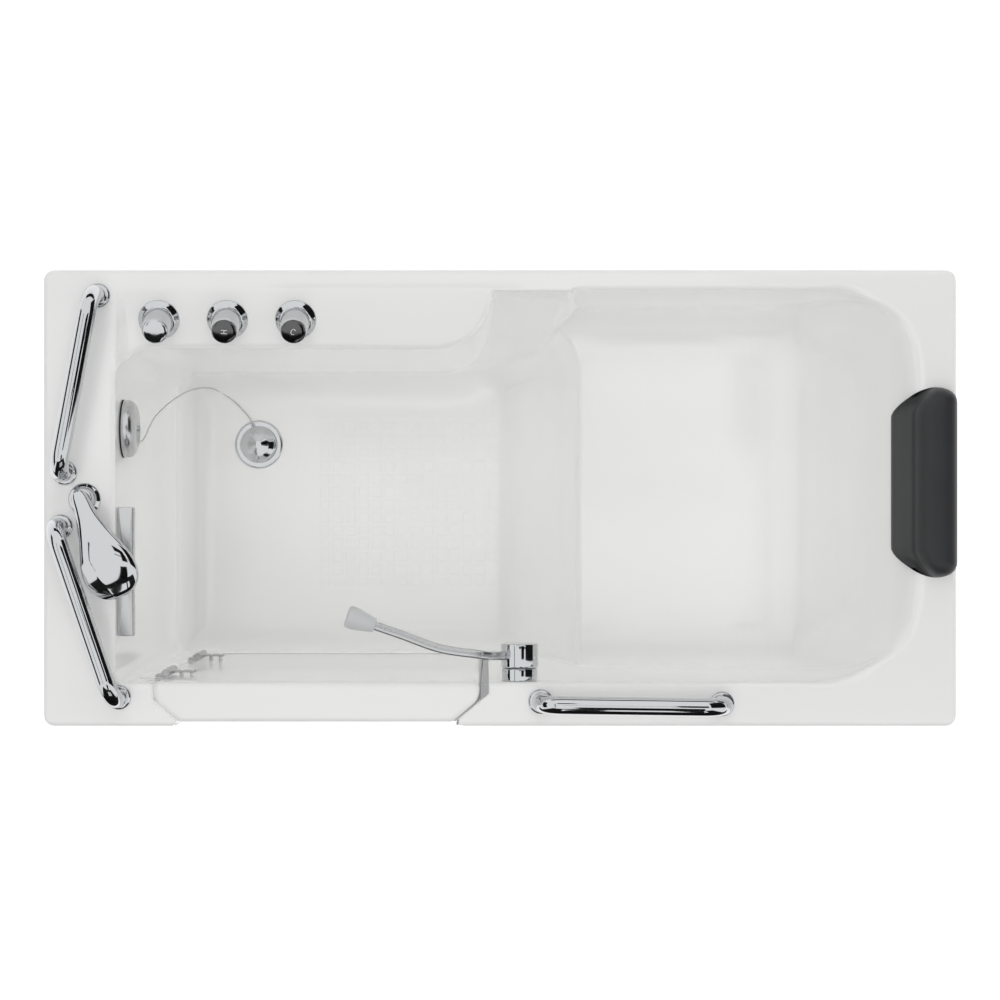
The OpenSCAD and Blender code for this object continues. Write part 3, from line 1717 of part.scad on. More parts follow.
tub_shell();
front_panel();
access_panel();
panel_screws();
foot_end_panel();
head_end_panel();
frame_rails();
frame_cross_members();
frame_posts();
seat_supports();
foot_studs();
foot_pads();
foot_locknuts();
door_gasket();
door_sill_strip();
hinge_jamb_leaves();
hinge_pins();
lever_base();
grab_bar_wall_side();
grab_bar_foot_end();
grab_bar_door_side();
grab_bar_rings();
grab_bar_studs();
tap_flanges();
valve_bodies();
fitting_locknuts();
mixer_pipe();
supply_pipes();
spout_feed_pipe();
waterfall_spout();
overflow_cover();
overflow_screw();
overflow_elbow();
overflow_pipe();
drain_flange();
drain_body();
drain_locknut();
waste_tailpiece();
shower_holder();
pillow();
pillow_suckers();
stopper_cord();
door_inner_shell();
door_outer_skin();
door_core();
hinge_door_leaves();
lever_hub();
lever_arm();
lever_grip();
lever_spindle();
diverter_knob();
hot_knob();
hot_disc();
cold_knob();
cold_disc();
handset_shell();
handset_shank();
spray_face();
stopper_cap();
stopper_seal();
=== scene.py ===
"""Walk-in bathtub with an inward-opening door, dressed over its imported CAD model.

A moulded gel-coat tub on a levelling frame: a footwell and a seat in one shell,
a mitred door, deck taps, a hand shower, grab bars and a head pillow. Lengths in
the sections are in millimetres, in the CAD model's frame.
"""

import math

import bpy
import numpy as np
from mathutils.geometry import delaunay_2d_cdt
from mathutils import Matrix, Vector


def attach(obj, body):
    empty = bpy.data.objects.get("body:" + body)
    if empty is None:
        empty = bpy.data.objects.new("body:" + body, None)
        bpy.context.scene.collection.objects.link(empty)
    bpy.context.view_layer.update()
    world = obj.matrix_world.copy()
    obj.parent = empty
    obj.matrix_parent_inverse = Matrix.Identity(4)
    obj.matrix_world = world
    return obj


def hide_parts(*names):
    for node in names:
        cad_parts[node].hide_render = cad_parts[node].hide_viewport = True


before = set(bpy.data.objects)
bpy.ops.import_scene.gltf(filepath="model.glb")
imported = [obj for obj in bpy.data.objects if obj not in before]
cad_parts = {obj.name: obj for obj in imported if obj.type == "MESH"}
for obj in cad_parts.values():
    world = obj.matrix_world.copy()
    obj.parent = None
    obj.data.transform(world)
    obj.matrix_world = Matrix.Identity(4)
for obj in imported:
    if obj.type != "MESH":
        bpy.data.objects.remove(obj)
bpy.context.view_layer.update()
MM = 0.001

# ---- View, floor and light ----
# The tub is seen straight from above, from 4.3 m over its rim, on a plain white
# floor. Broad soft lamps hang over it, with dark flags between them that give
# the chrome its black streaks, as in a studio.

lens = bpy.data.cameras.new("view")
lens.lens, lens.sensor_width = 92.9, 36
lens.clip_start, lens.clip_end = 0.1, 50
camera = bpy.data.objects.new("view", lens)
camera.location = (0.0, -0.0033, 5.265)
bpy.context.scene.collection.objects.link(camera)
bpy.context.scene.camera = camera
bpy.context.scene.view_settings.view_transform = "Standard"


def linear(code):
    """sRGB hex to linear RGBA: c / 12.92 up to 0.04045, else ((c + 0.055) / 1.055) ^ 2.4."""
    c = np.array([int(code[i : i + 2], 16) for i in (1, 3, 5)]) / 255
    c = np.where(c > 0.04045, ((c + 0.055) / 1.055) ** 2.4, c / 12.92)
    return (*[float(v) for v in c], 1.0)


def add(tree, kind, inputs=None, **settings):
    """Adds a shader node. Inputs are values or other nodes' output sockets, by name or number."""
    node = tree.nodes.new("ShaderNode" + kind)
    for name, value in settings.items():
        setattr(node, name, value)
    for name, value in (inputs or {}).items():
        if isinstance(value, bpy.types.NodeSocket):
            tree.links.new(value, node.inputs[name])
        else:
            node.inputs[name].default_value = value
    return node


def seen(tree):
    """1 for camera, glossy and transmission rays, and 0 for those that light a surface."""
    path = add(tree, "LightPath").outputs
    rays = path["Is Camera Ray"]
    for kind in ("Is Glossy Ray", "Is Transmission Ray"):
        rays = add(tree, "Math", {0: rays, 1: path[kind]}, operation="MAXIMUM").outputs[0]
    return rays


world = bpy.data.worlds.new("studio")
bpy.context.scene.world = world
world.use_nodes = True
tree = world.node_tree
tree.nodes.clear()
studio_strength, paper_strength = 0.22, 1.0
level = add(tree, "MapRange", {"Value": seen(tree), "To Min": studio_strength, "To Max": paper_strength})
paper = add(tree, "Background", {"Color": linear("#FFFFFF"), "Strength": level.outputs[0]})
tree.links.new(paper.outputs[0], add(tree, "OutputWorld").inputs[0])


def flat(name, centre, along, across, finish):
    """A flat rectangle of the set: centre plus or minus along and across, in metres."""
    c, u, v = (np.array(p, float) for p in (centre, along, across))
    corners = [tuple(c + s * u + t * v) for s, t in ((-1, -1), (1, -1), (1, 1), (-1, 1))]
    mesh = bpy.data.meshes.new(name)
    mesh.from_pydata(corners, [], [(0, 1, 2, 3)])
    mesh.materials.append(finish)
    ob = bpy.data.objects.new(name, mesh)
    bpy.context.scene.collection.objects.link(ob)
    return ob


# Painted floor: matt white, and lit a little from itself for the camera so that
# it clears to white while the tub's shadow stays
floor_half, clearing_strength = 9.0, 0.5
paint = bpy.data.materials.new("floor_paint")
paint.use_nodes = True
tree = paint.node_tree
tree.nodes.clear()
matt = add(tree, "BsdfDiffuse", {"Color": linear("#E8E8E8")})
glow = add(tree, "MapRange", {"Value": seen(tree), "To Min": 0.0, "To Max": clearing_strength})
clearing = add(tree, "Emission", {"Color": linear("#FFFFFF"), "Strength": glow.outputs[0]})
both = add(tree, "AddShader", {0: matt.outputs[0], 1: clearing.outputs[0]})
tree.links.new(both.outputs[0], add(tree, "OutputMaterial").inputs[0])
floor = flat("floor", (0, 0, 0), (floor_half, 0, 0), (0, floor_half, 0), paint)


def lamp(name, place, aim, size, power):
    """A rectangular soft lamp at a place, facing the aim point, in metres. Mirrors don't show it."""
    data = bpy.data.lights.new(name, "AREA")
    data.shape, data.energy = "RECTANGLE", power
    data.size, data.size_y = size
    ob = bpy.data.objects.new(name, data)
    ob.location = place
    ob.rotation_euler = (Vector(place) - Vector(aim)).to_track_quat("Z", "Y").to_euler()
    ob.visible_glossy = False
    bpy.context.scene.collection.objects.link(ob)


lamp("lamp_back", (0.4, 2.6, 4.2), (0, 0, 0.7), (4.0, 1.2), 18)
lamp("lamp_front", (0.6, -2.6, 4.2), (0, 0, 0.7), (4.0, 1.2), 18)


def bank(name, elevation, azimuth, strength, spread, shaded):
    """A far bank of lamps at an elevation and an azimuth, in degrees. Mirrors don't show it."""
    data = bpy.data.lights.new(name, "SUN")
    data.energy, data.angle, data.use_shadow = strength, math.radians(spread), shaded
    ob = bpy.data.objects.new(name, data)
    e, a = math.radians(elevation), math.radians(azimuth)
    source = Vector((math.cos(e) * math.cos(a), math.cos(e) * math.sin(a), math.sin(e)))
    ob.rotation_euler = source.to_track_quat("Z", "Y").to_euler()
    ob.visible_glossy = False
    bpy.context.scene.collection.objects.link(ob)


# Of two banks overhead, one casts soft shadows and the other lights the footwell
# floor as well as the rim. Four weak ones round the sides fill the bath's walls,
# as white reflectors would.
bank("overhead_bank", 86, -90, 0.66, 45, True)
bank("overhead_fill", 88, -90, 0.38, 45, False)
for azimuth, strength in ((0, 0.78), (90, 0.62), (180, 0.6), (270, 0.42)):
    bank(f"side_bank_{azimuth}", 8, azimuth, strength, 60, False)

flag_cloth = bpy.data.materials.new("flag_cloth")
flag_cloth.use_nodes = True
cloth = flag_cloth.node_tree.nodes["Principled BSDF"].inputs
cloth["Base Color"].default_value = linear("#050505")
cloth["Roughness"].default_value = 1.0


def flag(name, centre, along, across):
    """A black cloth card that only shiny surfaces see: centre plus or minus along and across."""
    ob = flat(name, centre, along, across, flag_cloth)
    ob.visible_camera = ob.visible_diffuse = ob.visible_shadow = False
    ob.visible_transmission = False


# A tall card stands in front of the tub: a sill, a head and four bars with three
# windows between them, and a canopy over its right half. More cards lie on the
# floor in front, stand behind the tub and at both its ends, and hang over it
# beside the camera's thin boom.
card_y, card_half, sill_at, head_at, card_top = -3.2, 3.4, 2.2, 3.5, 4.4
card_bars = ((-card_half, -0.42), (-0.02, 0.2), (0.62, 0.86), (1.28, card_half))
for name, low, high in (("card_sill", 0, sill_at), ("card_head", head_at, card_top)):
    flag(name, (0, card_y, (low + high) / 2), (card_half, 0, 0), (0, 0, (high - low) / 2))
for i, (left, right) in enumerate(card_bars):
    centre = ((left + right) / 2, card_y, (sill_at + head_at) / 2)
    flag(f"card_bar_{i}", centre, ((right - left) / 2, 0, 0), (0, 0, (head_at - sill_at) / 2))
flag("card_canopy", (0.62, -2.4, 4.6), (0.62, 0, 0), (0, 0.8, 0.2))
flag("flag_by_wall_bar", (-0.2, 0.25, 2.2), (0.3, 0, 0), (0, 0.13, 0))
flag("flag_floor", (0.0, -2.4, 0.02), (3.2, 0, 0), (0, 0.9, 0))
flag("flag_back", (0.3, 3.4, 1.6), (2.6, 0, 0), (0, 0, 0.45))
flag("flag_foot_end", (-3.4, -0.2, 1.9), (0, 1.7, 0), (0, 0, 0.6))
flag("flag_head", (3.3, 1.5, 2.4), (0, 2.2, 0), (1.0, 0, -1.7))
flag("strip_foot_end", (-2.2, -0.4, 4.4), (0, 1.6, 0), (0.1, 0, 0.06))
flag("flag_over_head_end", (1.55, 0.05, 5.4), (0.75, 0, 0), (0, 0.8, 0))
flag("camera_boom", (1.9, 0.05, 5.6), (2.3, 0, 0), (0, 0.07, 0))

# ---- Stopper cord ----
# A thin white braided cord from the overflow cover to the stopper. It is soft,
# so it slumps down the wall and lies along the footwell floor.

cord_d = 3
cord_route = [
    (-628, 96, 825), (-624, 97, 812), (-619, 100, 795), (-618, 112, 755), (-618, 128, 710),
    (-618, 146, 640), (-618, 160, 560), (-618, 173, 480), (-616, 185, 400), (-614, 196, 320),
    (-611, 206, 250), (-606, 213, 195), (-598, 218, 150), (-588, 220, 125), (-574, 219, 108),
    (-560, 213, 100), (-546, 204, 98), (-532, 194, 97), (-519, 181, 97), (-508, 169, 98),
    (-499, 157, 101), (-495.8, 149.9, 103.2),
]


def material(name, colour, metallic=0.0, roughness=0.5, ior=None, coat=0.0, coat_roughness=0.03, sheen=0.0):
    """A Principled material: its values on the shader's own sockets, and its Object coordinates."""
    m = bpy.data.materials.new(name)
    m.use_nodes = True
    tree = m.node_tree
    shader = tree.nodes["Principled BSDF"]
    values = {"Base Color": linear(colour), "Metallic": metallic, "Roughness": roughness,
              "Coat Weight": coat, "Coat Roughness": coat_roughness, "Sheen Weight": sheen}
    if ior:
        values["IOR"] = ior
    for socket, value in values.items():
        shader.inputs[socket].default_value = value
    m.diffuse_color = linear(colour)
    return m, tree, shader, add(tree, "TexCoord").outputs["Object"]


def bumped(tree, shader, height, depth, strength=1.0):
    """Raises the surface by a height socket, from 0 to 1, times a depth in millimetres."""
    bump = add(tree, "Bump", {"Height": height, "Distance": depth * MM, "Strength": strength})
    tree.links.new(bump.outputs[0], shader.inputs["Normal"])


def roughen(tree, shader, place, size, depth, strength=1.0):
    """Bumps of a noise: size is the distance between bumps and depth their height, in millimetres."""
    noise = add(tree, "TexNoise", {"Vector": place, "Scale": 1 / (size * MM), "Detail": 3.0})
    bumped(tree, shader, noise.outputs[0], depth, strength)
    return noise


def two_tones(tree, shader, share, first, second):
    """Base colour between two tones: a share socket of 0 gives the first, and 1 the second."""
    tone = add(tree, "Mix", {0: share, 6: linear(first), 7: linear(second)}, data_type="RGBA")
    tree.links.new(tone.outputs[2], shader.inputs["Base Color"])


# Braided polyester: white, matt, with strands that cross it every 2.5 mm. A
# diagonal wave of scale s repeats every 0.63 / s.
braid, tree, shader, place = material("braided_cord", "#CDCDCB", roughness=0.7)
strand = add(tree, "TexWave", {"Vector": place, "Scale": 1 / (4 * MM), "Distortion": 1.5},
             bands_direction="DIAGONAL").outputs["Fac"]
two_tones(tree, shader, strand, "#B8B8B6", "#DCDCDA")
bumped(tree, shader, strand, 0.3)


def spline(points, steps):
    """Catmull-Rom curve through the points. Over a span b to c, between a and d, it is
    0.5 (2 b + (c - a) t + (2a - 5b + 4c - d) t^2 + (3b - a - 3c + d) t^3), t from 0 to 1."""
    p = np.array(points, float)
    p = np.vstack([2 * p[0] - p[1], p, 2 * p[-1] - p[-2]])
    t = (np.arange(steps) / steps)[:, None]
    spans = []
    for a, b, c, d in zip(p[:-3], p[1:-2], p[2:-1], p[3:]):
        square, cube = 2 * a - 5 * b + 4 * c - d, 3 * b - a - 3 * c + d
        spans.append(0.5 * (2 * b + (c - a) * t + square * t**2 + cube * t**3))
    return np.vstack(spans + [p[-2][None]])


def rings_along(path, section):
    """Carries a section, with rows (side, up), along a path: point + side * s + up * u. Each side
    is the last one less its part along the way, so that the section turns as little as possible."""
    path = np.array(path, float)
    way = np.gradient(path, axis=0)
    way /= np.linalg.norm(way, axis=1)[:, None]
    start = np.array([0, 0, 1.0]) if abs(way[0][2]) < 0.9 else np.array([1.0, 0, 0])
    sides, side = [], np.cross(way[0], start)
    for w in way:
        side = side - w * (side @ w)
        side = side / np.linalg.norm(side)
        sides.append(side)
    sides = np.array(sides)
    ups = np.cross(sides, way)
    section = np.broadcast_to(section, (len(path), *np.shape(section)[-2:]))
    return path[:, None] + sides[:, None] * section[..., :1] + ups[:, None] * section[..., 1:]


def closed_shell(rings):
    """Points and faces of rings joined row to row, with each end closed by a fan to its own middle."""
    rings = np.array(rings, float)
    rows, n = rings.shape[:2]
    points = np.vstack([rings.reshape(-1, 3), rings[0].mean(0), rings[-1].mean(0)])
    i, j = np.meshgrid(np.arange(rows - 1) * n, np.arange(n), indexing="ij")
    k = (j + 1) % n
    faces = np.stack([i + j, i + k, i + n + k, i + n + j], -1).reshape(-1, 4).tolist()
    j = np.arange(n)
    k = (j + 1) % n
    first, last = rows * n, rows * n + 1
    faces += np.stack([k, j, np.full(n, first)], -1).tolist()
    faces += np.stack([j + (rows - 1) * n, k + (rows - 1) * n, np.full(n, last)], -1).tolist()
    return points, faces


def joined(shells):
    """Several closed shells as one list of points and faces."""
    points, faces, start = [], [], 0
    for p, f in shells:
        points.append(p)
        faces += [[v + start for v in face] for face in f]
        start += len(p)
    return np.vstack(points), faces


def outward(points, faces):
    """Turns the faces over if the shell's signed volume, the sum of a . (b x c) / 6, is below zero."""
    tri = np.array([[f[0], f[i], f[i + 1]] for f in faces for i in range(1, len(f) - 1)])
    a, b, c = points[tri[:, 0]], points[tri[:, 1]], points[tri[:, 2]]
    return [f[::-1] for f in faces] if np.einsum("ij,ij->i", a, np.cross(b, c)).sum() < 0 else faces


def piece(name, shells, finish, body, stands_for, smooth=40, normals=None):
    """One object of closed shells, in millimetres. It rides on a body and stands for CAD nodes."""
    shells = [(p, outward(p, f)) for p, f in shells]
    points, faces = joined(shells)
    mesh = bpy.data.meshes.new(name)
    mesh.from_pydata((points * MM).tolist(), [], faces)
    mesh.materials.append(finish)
    mesh.shade_smooth()
    if normals is not None:
        mesh.normals_split_custom_set_from_vertices(normals.tolist())
    elif smooth:
        mesh.set_sharp_from_angle(angle=math.radians(smooth))
    ob = bpy.data.objects.new(name, mesh)
    bpy.context.scene.collection.objects.link(ob)
    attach(ob, body)
    if stands_for:
        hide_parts(*stands_for)
    return ob


def circle(r, count=32):
    """Points (side, up) of a circle: r (cos a, sin a)."""
    a = 2 * np.pi * np.arange(count) / count
    return r * np.stack([np.cos(a), np.sin(a)], -1)


cord_line = spline(cord_route, 6)
cord_shell = closed_shell(rings_along(cord_line, circle(cord_d / 2, 8)))
stopper_cord = piece("cord", [cord_shell], braid, "tub", ["stopper_cord"])

# ---- Tub ----
# One moulding of white gel coat over glass-fibre laminate, about 6 mm thick: rim
# with a turned-down lip, footwell, seat, backrest, a slanted ledge for the taps
# and a band round the doorway. It is laid up over a polished mould, so every
# edge has a soft radius and the face is glossy.

gelcoat, tree, shader, place = material("gel_coat", "#F5F5F4", roughness=0.16, ior=1.52, coat=0.35,
                                        coat_roughness=0.06)
# The laminate shows through the gloss as a very slight waviness about 40 mm long,
# and the footwell floor has a patch of moulded non-slip squares 26 mm apart
tread_pitch = 26
tread_patch = ((-364, 4), (-176, 164), (90, 110))
wave = add(tree, "TexNoise", {"Vector": place, "Scale": 1 / (40 * MM), "Detail": 1.0})
wavy = add(tree, "Bump", {"Height": wave.outputs[0], "Distance": 0.5 * MM, "Strength": 0.25})
axes = add(tree, "SeparateXYZ", {0: place}).outputs
lobes = []
for axis in (axes[0], axes[1]):
    turn = add(tree, "Math", {0: axis, 1: math.pi / (tread_pitch * MM)}, operation="MULTIPLY")
    swing = add(tree, "Math", {0: turn.outputs[0]}, operation="SINE")
    lobes.append(add(tree, "Math", {0: swing.outputs[0]}, operation="ABSOLUTE").outputs[0])
lobe = add(tree, "Math", {0: lobes[0], 1: lobes[1]}, operation="MINIMUM")
tread = add(tree, "MapRange", {"Value": lobe.outputs[0], "From Min": 0.3, "From Max": 0.62},
            interpolation_type="SMOOTHSTEP").outputs[0]


def within(tree, value, low, high, edge=4 * MM):
    """1 where low < value < high and 0 outside, through a soft edge."""
    up = add(tree, "MapRange", {"Value": value, "From Min": low, "From Max": low + edge})
    down = add(tree, "MapRange", {"Value": value, "From Min": high - edge, "From Max": high,
                                  "To Min": 1.0, "To Max": 0.0})
    return add(tree, "Math", {0: up.outputs[0], 1: down.outputs[0]}, operation="MULTIPLY").outputs[0]


for axis, (low, high) in zip(axes, tread_patch):
    inside = within(tree, axis, low * MM, high * MM)
    tread = add(tree, "Math", {0: tread, 1: inside}, operation="MULTIPLY").outputs[0]
bump = add(tree, "Bump", {"Height": tread, "Distance": 1.0 * MM, "Strength": 0.5,
                          "Normal": wavy.outputs[0]})
tree.links.new(bump.outputs[0], shader.inputs["Normal"])

# Outline and edge of the rim
foot_x, head_x, front_y, back_y, rim_z = -762, 762, -381, 381, 965
rim_corner, lip_roll, lip_drop, lip_edge, shell_t = 18, 8, 34, 0.6, 6
# The bath's four walls, with the radii of their corners in plan
well_x, basin_head_x, well_front_y, basin_back_y, well_z = -642, 700, -306.5, 347, 95
well_r, well_front_r, head_back_r, head_front_r = 52, 24, 158, 180
# The tap ledge: its slope in degrees, and the quarter circle at its end
ledge_front_y, ledge_end_x, ledge_slope, ledge_r = 251, -110, 24, 98
# The seat, the curve that turns it up and the backrest, as points (x, z), and the
# centre about which the seat's slanting front turns into the pocket by the ledge
seat_x, seat_z, seat_centre, seat_turn_most = 144, 525, (33, 225), 50
seat_curve = np.array([(380, 533), (575, 541), (622, 700)])
backrest = [(688, 925), (700, 953), (712, 965)]
front_slope, front_foot, floor_blend, seat_blend = 4.725, 20, 300, 26
# The pocket between the ledge and the seat has a leaning wall. It gives way to the
# seat over an edge that slants from pocket_edge, where y is pocket_edge_y
pocket_slope, pocket_foot_y, pocket_from_y, pocket_blend = 12.14, 275, 240, 220
pocket_edge, pocket_edge_w, pocket_edge_y, pocket_edge_slant = 88, 44, 310, 0.75
# How the walls change along the tub, as the x where a change starts and its width
ledge_starts, ledge_stops, fillet_grows, brow_grows = (-641, 16), (400, 20), (60, 120), (500, 120)
head_softens, reach_grows = (530, 130), (600, 90)
fillet_r, fillet_more, brow_r, brow_more, wall_lean, reach, reach_more = 76, 24, 9, 13, 1.6, 4, 18
# The doorway, its jambs and its sill, with the mitred door in it
band_left, band_right, band_z = -622.5, 10, 129
door_hinge_x, door_lever_x, door_in_y, mitre_y, door_out_y, mitre_x = -578.5, -34, -306.5, -335.5, -373.5, 45
jamb_left, jamb_right, jamb_gap, jamb_nose, doorway_in_y = -584.5, -19, 2.4, 6, -298
sill_z, sill_rise = 173, 26


def corner(a, b, r):
    """Distance inside two walls at distances a and b that meet in a corner of radius r:
    r - hypot(r - a, r - b) near the corner, and the nearer wall away from it."""
    bend = r - np.hypot(np.maximum(r - a, 0), np.maximum(r - b, 0))
    return np.where((a < r) & (b < r), bend, np.minimum(a, b))


def soft_min(a, b, k):
    """The lower of a and b, rounded where they are within k: b + (a - b) h - k h (1 - h), with
    h = (1 + (b - a) / k) / 2 held to 0..1."""
    h = np.clip(0.5 + 0.5 * (b - a) / k, 0, 1)
    return b + (a - b) * h - k * h * (1 - h)


def eased(x, start, width):
    """0 up to start and 1 from start + width, by 3 t^2 - 2 t^3 with t = (x - start) / width."""
    t = np.clip((x - start) / width, 0, 1)
    return t * t * (3 - 2 * t)


def outer_distance(x, y):
    """Distance inside the tub's outline, a rectangle with rounded corners."""
    a, b, c, d = x - foot_x, head_x - x, y - front_y, back_y - y
    return np.minimum.reduce([corner(p, q, rim_corner) for p in (a, b) for q in (c, d)])


def ledge_distance(x, y):
    """Distance from the tap ledge, a straight block whose end is a quarter of a circle."""
    end = np.hypot(x - ledge_end_x, np.minimum(y - ledge_front_y - ledge_r, 0)) - ledge_r
    return np.where(x < ledge_end_x, ledge_front_y - y, end)


def basin_distance(x, y):
    """Distance inside the bath's opening: the box of its four walls, less the ledge."""
    a, b, c, d = x - well_x, basin_head_x - x, y - well_front_y, basin_back_y - y
    head = [corner(b, c, head_front_r), corner(b, d, head_back_r)]
    foot = [corner(a, c, well_front_r), corner(a, ledge_distance(x, y), well_r)]
    return np.minimum.reduce(head + foot + [d])


def doorway_distance(x, y):
    """Distance inside the doorway: its jambs, drawn in by the mitres towards the outside."""
    n = np.array([mitre_y - door_out_y, mitre_x]) / math.hypot(mitre_y - door_out_y, mitre_x)
    left = n[0] * (x - door_hinge_x) + n[1] * (y - mitre_y) + jamb_gap
    right = n[0] * (door_lever_x - x) + n[1] * (y - mitre_y) + jamb_gap
    nose_left, nose_right = door_hinge_x + mitre_x - jamb_nose, door_lever_x - mitre_x + jamb_nose
    left = np.minimum(x - jamb_left, np.maximum(left, x - nose_left))
    right = np.minimum(jamb_right - x, np.maximum(right, nose_right - x))
    return np.minimum.reduce([left, right, doorway_in_y - y])


def seat_height(x):
    """Seat, rising a little to the back, then the curve (1 - t)^2 a + 2 t (1 - t) b + t^2 c up
    into the straight backrest."""
    t = np.linspace(0, 1, 24)[:, None]
    a, b, c = seat_curve
    turn = a * (1 - t) ** 2 + 2 * b * t * (1 - t) + c * t * t
    line = np.vstack([[[seat_x, seat_z]], turn, backrest])
    return np.interp(x, line[:, 0], line[:, 1])


def front_run(x, y):
    """Run of the slanting seat front from the seat's centre: the greatest of dx cos a + dy sin a
    for a from 0 to 50 degrees."""
    dx, dy, most = x - seat_centre[0], y - seat_centre[1], math.radians(seat_turn_most)
    turn = np.clip(np.arctan2(dy, dx), 0, most)
    return np.maximum.reduce([dx * np.cos(a) + dy * np.sin(a) for a in (turn, 0.0, most)])


def lower_surface(x, y):
    """Footwell floor, seat front, seat and backrest, with the pocket's leaning wall, which gives
    way to the seat over the pocket's edge."""
    slant = well_z + front_slope * (front_run(x, y) - front_foot)
    pocket = well_z + pocket_slope * (y - pocket_foot_y)
    floor = -soft_min(-slant, np.full_like(slant, -well_z), floor_blend)
    low = soft_min(floor, seat_height(x), seat_blend)
    edge = eased(x - pocket_edge_slant * (y - pocket_edge_y), pocket_edge, pocket_edge_w)
    wall = -soft_min(-(pocket * (1 - edge)), -low, pocket_blend)
    return np.where(y > pocket_from_y, np.minimum(wall, rim_z), low)


def wall_profile(d, depth, roll, width, fillet):
    """Drop of a wall at distance d inside its edge: a quarter roll, a straight wall leaning by
    width, and a fillet f (1 - (1 - u / f)^2.5)^(1 / 2.5), which meets both sides with no jump in
    curvature. Roll and fillet are smaller where the depth is small."""
    roll = np.minimum(roll, 0.55 * depth)
    fillet = np.minimum(fillet, depth - roll)
    top = roll - np.sqrt(np.maximum(roll**2 - np.clip(d + roll, 0, roll) ** 2, 0))
    wall = np.clip(d / width, 0, 1) * np.maximum(depth - roll - fillet, 0)
    low = fillet * (1 - (1 - np.clip((d - width) / np.maximum(fillet, 0.01), 0, 1)) ** 2.5) ** 0.4
    return top + wall + low


def tub_height(x, y):
    """Height of the moulding's face: the lowest of the deck with its bath, the doorway and the
    rolled outer edge."""
    d = basin_distance(x, y)
    # The deck slants down over the tap ledge from a softened crease along the back wall
    fall = basin_back_y - y
    fall = 0.5 * (fall + np.sqrt(fall**2 + 40)) * eased(x, *ledge_starts) * (1 - eased(x, *ledge_stops))
    on_ledge = (d < 12) & (x < 30) & (y > 180)
    deck = rim_z - fall * math.tan(math.radians(ledge_slope)) * on_ledge
    # The walls roll over into the bath with a brow that is broader at the head end
    low = lower_surface(x, y)
    fillet = fillet_r + fillet_more * eased(x, *fillet_grows)
    brow = brow_r + brow_more * eased(x, *brow_grows)
    depth = np.maximum(deck - low, 0.5)
    drop = wall_profile(d, depth, brow, wall_lean, fillet)
    # Round the head end the wall gives way to one soft S curve, 80 to 98 mm wide
    soft, out = eased(x, *head_softens), reach + reach_more * eased(x, *reach_grows)
    bath = deck - drop * (1 - soft) - depth * eased(d, -out, fillet_r + out) * soft
    sill = sill_z + sill_rise * np.clip((mitre_y - y) / (mitre_y - door_out_y), 0, 1)
    way = rim_z - wall_profile(doorway_distance(x, y), rim_z - sill, 4, 1.0, 3)
    # The outer edge rolls down into the lip, which reaches lower round the doorway
    e = outer_distance(x, y)
    in_band = (x > band_left) & (x < band_right) & (y < front_y + 20)
    skirt = np.where(in_band, band_z, rim_z - lip_drop)
    turn = np.clip(lip_roll + lip_edge - e, 0, lip_roll)
    rolled = rim_z - (lip_roll - np.sqrt(lip_roll**2 - turn**2))
    edge = rolled - np.clip(1 - e / lip_edge, 0, 1) * (rim_z - lip_roll - skirt)
    return np.minimum.reduce([bath, way, edge])


def arc(cx, cy, r, start, end, step=4.0):
    """Points of an arc about (cx, cy) between two angles in degrees."""
    steps = max(4, int(abs(end - start) * math.pi / 180 * r / step))
    a = np.radians(np.linspace(start, end, steps))
    return np.stack([cx + r * np.cos(a), cy + r * np.sin(a)], -1)


def chain(*parts, step=5.0):
    """Joins points and arcs into one line with points about a step apart."""
    p = np.vstack([np.atleast_2d(q) for q in parts]).astype(float)
    length = np.hypot(*np.diff(p, axis=0).T)
    p = p[np.concatenate([[True], length > 1e-6])]
    s = np.concatenate([[0], np.cumsum(np.hypot(*np.diff(p, axis=0).T))])
    t = np.linspace(0, s[-1], int(s[-1] / step) + 2)
    return np.stack([np.interp(t, s, p[:, 0]), np.interp(t, s, p[:, 1])], -1)


def level_rows(line, distance, offsets, tolerance=0.25):
    """Rows of points along a line, each moved to an exact distance d by p + (d - D(p)) grad D(p),
    four times over, and kept only where that holds."""
    rows, h = [], 0.05
    for offset in offsets:
        p = line.copy()
        for _ in range(4):
            x, y = p.T
            gap = np.clip(offset - distance(x, y), -60, 60)
            slope = np.stack([distance(x + h, y) - distance(x - h, y),
                              distance(x, y + h) - distance(x, y - h)], -1) / (2 * h)
            p = p + slope * gap[:, None]
        rows.append(p[np.abs(distance(*p.T) - offset) < tolerance])
    return np.vstack(rows)


def crossings(outer, inner, turned_over=False):
    """The points (a, b) for each a of outer and, within it, each b of inner, or (b, a) turned over."""
    rows = np.array([(a, b) for a in outer for b in inner], float)
    return rows[:, ::-1] if turned_over else rows


r = rim_corner
outline = chain(arc(head_x - r, back_y - r, r, 0, 90, 1.5), arc(foot_x + r, back_y - r, r, 90, 180, 1.5),
                arc(foot_x + r, front_y + r, r, 180, 270, 1.5),
                arc(head_x - r, front_y + r, r, 270, 360, 1.5), (head_x, back_y - r), step=6)
opening = chain(arc(well_x + well_r, ledge_front_y - well_r, well_r, 180, 90),
                arc(ledge_end_x, ledge_front_y + ledge_r, ledge_r, -90, 0),
                (ledge_end_x + ledge_r, basin_back_y),
                arc(basin_head_x - head_back_r, basin_back_y - head_back_r, head_back_r, 90, 0),
                arc(basin_head_x - head_front_r, well_front_y + head_front_r, head_front_r, 0, -90),
                arc(well_x + well_front_r, well_front_y + well_front_r, well_front_r, 270, 180),
                (well_x, ledge_front_y - well_r))
nose_x = door_hinge_x + mitre_x - jamb_nose
left_jamb = chain((jamb_left, well_front_y + 6), (jamb_left, mitre_y + 1), (nose_x, door_out_y + 1),
                  (nose_x, front_y), step=3)
